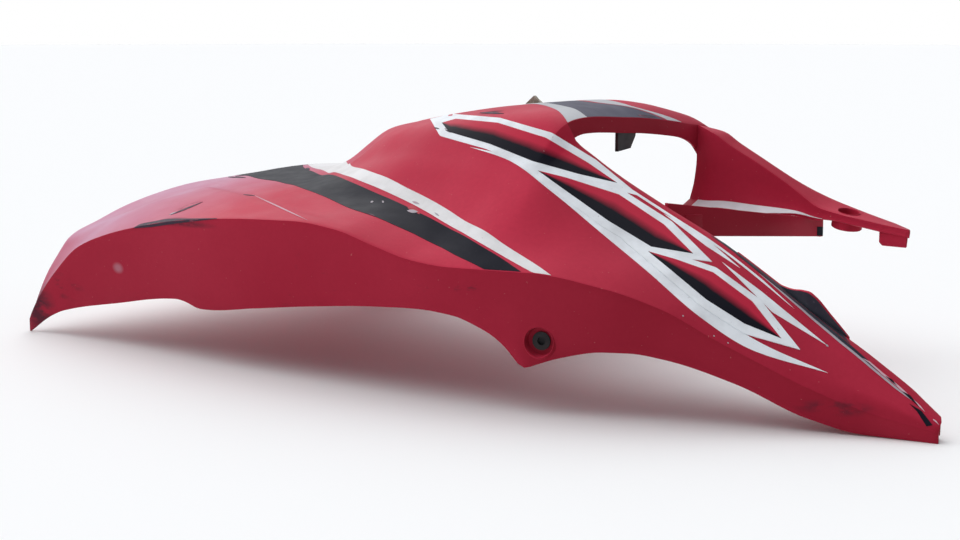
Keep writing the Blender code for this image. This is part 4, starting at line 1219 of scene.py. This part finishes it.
def print_ink(name, colour, dirt, roughness, wear, gloss=0.10):
    """Printed film: an even colour with dirt blotches and small worn specks."""
    ink = Finish(name, colour, roughness, specular_ior_level=gloss)
    shade = ink.mix(ink.patches(40.0, 6.0, 0.40, 0.75, 0.0, 0.45), colour, dirt)
    specks = ink.times(ink.patches(330.0, 3.0, 0.70 - wear, 0.73 - wear), 0.6)
    rough = ink.patches(60.0, 4.0, 0.2, 0.8, roughness - 0.05, roughness + 0.10)
    return ink.surface(ink.mix(specks, shade, dirt), rough, ink.noise(900.0, 2.0), 0.04, 0.0003)


def fading_ink():
    """Print that runs from the moulding's red at one edge to near black at the other."""
    ink = Finish("fading_print", (0.02, 0.02, 0.03), 0.36, specular_ior_level=0.03)
    share = ink.node("Attribute", attribute_name="share").outputs["Fac"]
    ragged = ink.times(ink.combine("SUBTRACT", ink.noise(60.0, 3.0), 0.5), 0.10)
    fade = ink.remap(ink.combine("ADD", share, ragged), 0.30, 0.62)
    colour = ink.mix(fade, (0.50, 0.024, 0.056), (0.008, 0.008, 0.014))
    rough = ink.patches(50.0, 4.0, 0.2, 0.8, 0.30, 0.42)
    return ink.surface(colour, rough, ink.noise(900.0, 2.0), 0.04, 0.0003)


def streaked_finish(name, worn, left, least):
    """Streaked patch: one tone broken by streaks of what is left of the surface. It serves for wear and, in
    two materials, for painted highlights.
    """
    patch = Finish(name, worn, 0.6, specular_ior_level=0.25)
    streak = patch.remap(patch.noise(120.0, 6.0, 0.65, (0.5, 1.0, 1.6)), least, least + 0.12)
    rough = patch.patches(240.0, 4.0, 0.2, 0.8, 0.50, 0.75)
    return patch.surface(patch.mix(streak, worn, left), rough, patch.noise(600.0, 3.0), 0.20, 0.0004)


def weathered_steel():
    """Dull folded steel with brown stain and fine pitting."""
    steel = Finish("weathered_steel", (0.38, 0.34, 0.28), 0.5, metallic=0.55)
    colour = steel.mix(steel.patches(320.0, 6.0, 0.35, 0.65), (0.42, 0.38, 0.32), (0.22, 0.17, 0.12))
    rough = steel.patches(500.0, 4.0, 0.2, 0.8, 0.40, 0.70)
    return steel.surface(colour, rough, steel.noise(700.0, 4.0), 0.35, 0.0006)


def dull_black(name, roughness, grain):
    """Moulded black with a fine grain and a little dust."""
    black = Finish(name, (0.018, 0.018, 0.021), roughness)
    dust = black.patches(90.0, 5.0, 0.45, 0.80, 0.0, 0.35)
    colour = black.mix(dust, (0.016, 0.016, 0.019), (0.075, 0.068, 0.062))
    rough = black.patches(140.0, 4.0, 0.2, 0.8, roughness - 0.08, roughness + 0.10)
    return black.surface(colour, rough, black.noise(grain, 3.0), 0.15, 0.0003)


red = red_plastic()
white_ink = print_ink("white_print", (0.85, 0.88, 0.92), (0.40, 0.40, 0.42), 0.40, 0.0)
cream_ink = print_ink("cream_print", (0.79, 0.78, 0.79), (0.46, 0.44, 0.42), 0.42, 0.01)
roof_ink = print_ink("roof_print", (0.50, 0.51, 0.54), (0.36, 0.36, 0.38), 0.40, 0.01)
black_ink = print_ink("black_print", (0.0095, 0.0098, 0.0170), (0.024, 0.024, 0.034), 0.36, 0.02, 0.03)
# Black print lightened and blued on the upward roof: painted sky sheen
roof_black_sheen_ink = print_ink("roof_black_print_painted_sheen", (0.075, 0.073, 0.110), (0.12, 0.116, 0.16), 0.36, 0.02, 0.05)
# Black print lightened to a bluish grey: painted sky reflection on the black gloss of the ridge, facet and
# fin strips
black_sheen_ink = print_ink("black_print_painted_sheen", (0.030, 0.032, 0.046), (0.090, 0.090, 0.110), 0.34, 0.02)
heart_ink = fading_ink()
scuff_dark = streaked_finish("scuffed_dark", (0.040, 0.020, 0.040), (0.34, 0.060, 0.100), 0.58)
# Pale tone for worn rims and scratches, and for painted highlights on the ridge and small glints
pale_wear_and_highlight = streaked_finish("pale_wear_painted_highlight", (0.42, 0.38, 0.42), (0.46, 0.10, 0.14), 0.60)
# Pink for the printed nose lines and for the painted highlight on the wing's crest
pink_lines_and_highlight = streaked_finish("pink_line_painted_highlight", (0.62, 0.40, 0.46), (0.46, 0.06, 0.10), 0.62)
chip_red = streaked_finish("chipped_red", (0.46, 0.040, 0.060), (0.12, 0.020, 0.030), 0.55)
bracket_black = dull_black("bracket_black", 0.55, 600.0)
rubber_black = dull_black("rubber_black", 0.78, 900.0)
steel = weathered_steel()


def dress(obj, mat):
    """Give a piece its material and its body."""
    obj.data.materials.clear()
    obj.data.materials.append(mat)
    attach(obj, "root")


for piece in shell_pieces:
    dress(piece, red)
    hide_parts("fairing_shell")
finishes = [
    # The bar end's sheet takes the black print as painted shade
    (black_band + nose_prints + [bar_end_painted_shade], black_ink),
    ([roof_films["roof_black"]], roof_black_sheen_ink),
    (white_band, cream_ink),
    (sheened_black_prints, black_sheen_ink),
    ([roof_films["roof_white"], roof_films["roof_line"]], roof_ink),
    (blade_edges, white_ink),
    (blade_hearts, heart_ink),
    (flank_whites + [flange_print], white_ink),
    ([ridge_painted_highlight, worn_rims, pale_flecks_and_glints], pale_wear_and_highlight),
    ([nose_lines, crest_painted_highlight], pink_lines_and_highlight),
    ([red_chips], chip_red),
    ([crease_scuff, dark_nicks], scuff_dark)]
for pieces, mat in finishes:
    for piece in pieces:
        dress(piece, mat)
dress(tab_hole_back, rubber_black)
for name, mat in (("window_clip", bracket_black), ("hood_lug", steel), ("tab_grommet", rubber_black)):
    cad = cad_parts[name]
    cad.data.materials.clear()
    cad.data.materials.append(mat)

# Floor, light and camera
FLOOR_REACH = 18.0
FLOOR_TONE = (0.93, 0.93, 0.93)
DOME_RADIUS = 17.0
SKY_COLOUR = (0.90, 0.94, 1.0, 1.0)
SKY_STRENGTH = 0.36
SUN_SPREAD = math.radians(100)
SUN_STRENGTH = 2.65
SUN_WAY = (0.62, -0.12, -1.0)


def studio():
    """Pale floor, a white dome that only the camera sees, a dim sky and one broad sun."""
    a = FLOOR_REACH
    floor = mesh_object("floor", [(-a, -a, 0), (a, -a, 0), (a, a, 0), (-a, a, 0)], [(0, 1, 2, 3)])
    floor.data.materials.append(Finish("pale_floor", FLOOR_TONE, 0.9, specular_ior_level=0.0).material)
    work = bmesh.new()
    bmesh.ops.create_icosphere(work, subdivisions=4, radius=DOME_RADIUS)
    dome = solid_object("backdrop", work)
    glow = Finish("backdrop_white", (0.0, 0.0, 0.0), 1.0, specular_ior_level=0.0,
                  emission_color=(1.0, 1.0, 1.0, 1.0), emission_strength=1.0)
    dome.data.materials.append(glow.material)
    for kind in ("visible_diffuse", "visible_glossy", "visible_transmission", "visible_shadow"):
        setattr(dome, kind, False)
    world = bpy.data.worlds.new("studio")
    bpy.context.scene.world = world
    world.use_nodes = True
    sky = world.node_tree.nodes["Background"]
    sky.inputs["Color"].default_value = SKY_COLOUR
    sky.inputs["Strength"].default_value = SKY_STRENGTH
    light = bpy.data.lights.new("soft_sun", "SUN")
    light.angle = SUN_SPREAD
    light.energy = SUN_STRENGTH
    lamp = placed("soft_sun", light)
    lamp.rotation_euler = Vector(SUN_WAY).to_track_quat("-Z", "Y").to_euler()


def photo_camera():
    """Camera where the photograph was taken from."""
    data = bpy.data.cameras.new("camera")
    data.lens = CAMERA_LENS
    data.sensor_width = SENSOR_WIDTH
    camera = placed("camera", data)
    camera.location = CAMERA_AT
    centre = (0.5 * FRAME_WIDTH, 0.5 * FRAME_HEIGHT)
    camera.rotation_euler = sight_line(centre).to_track_quat("-Z", "Y").to_euler()
    bpy.context.scene.camera = camera


studio()
photo_camera()
bpy.context.scene.view_settings.view_transform = "Standard"
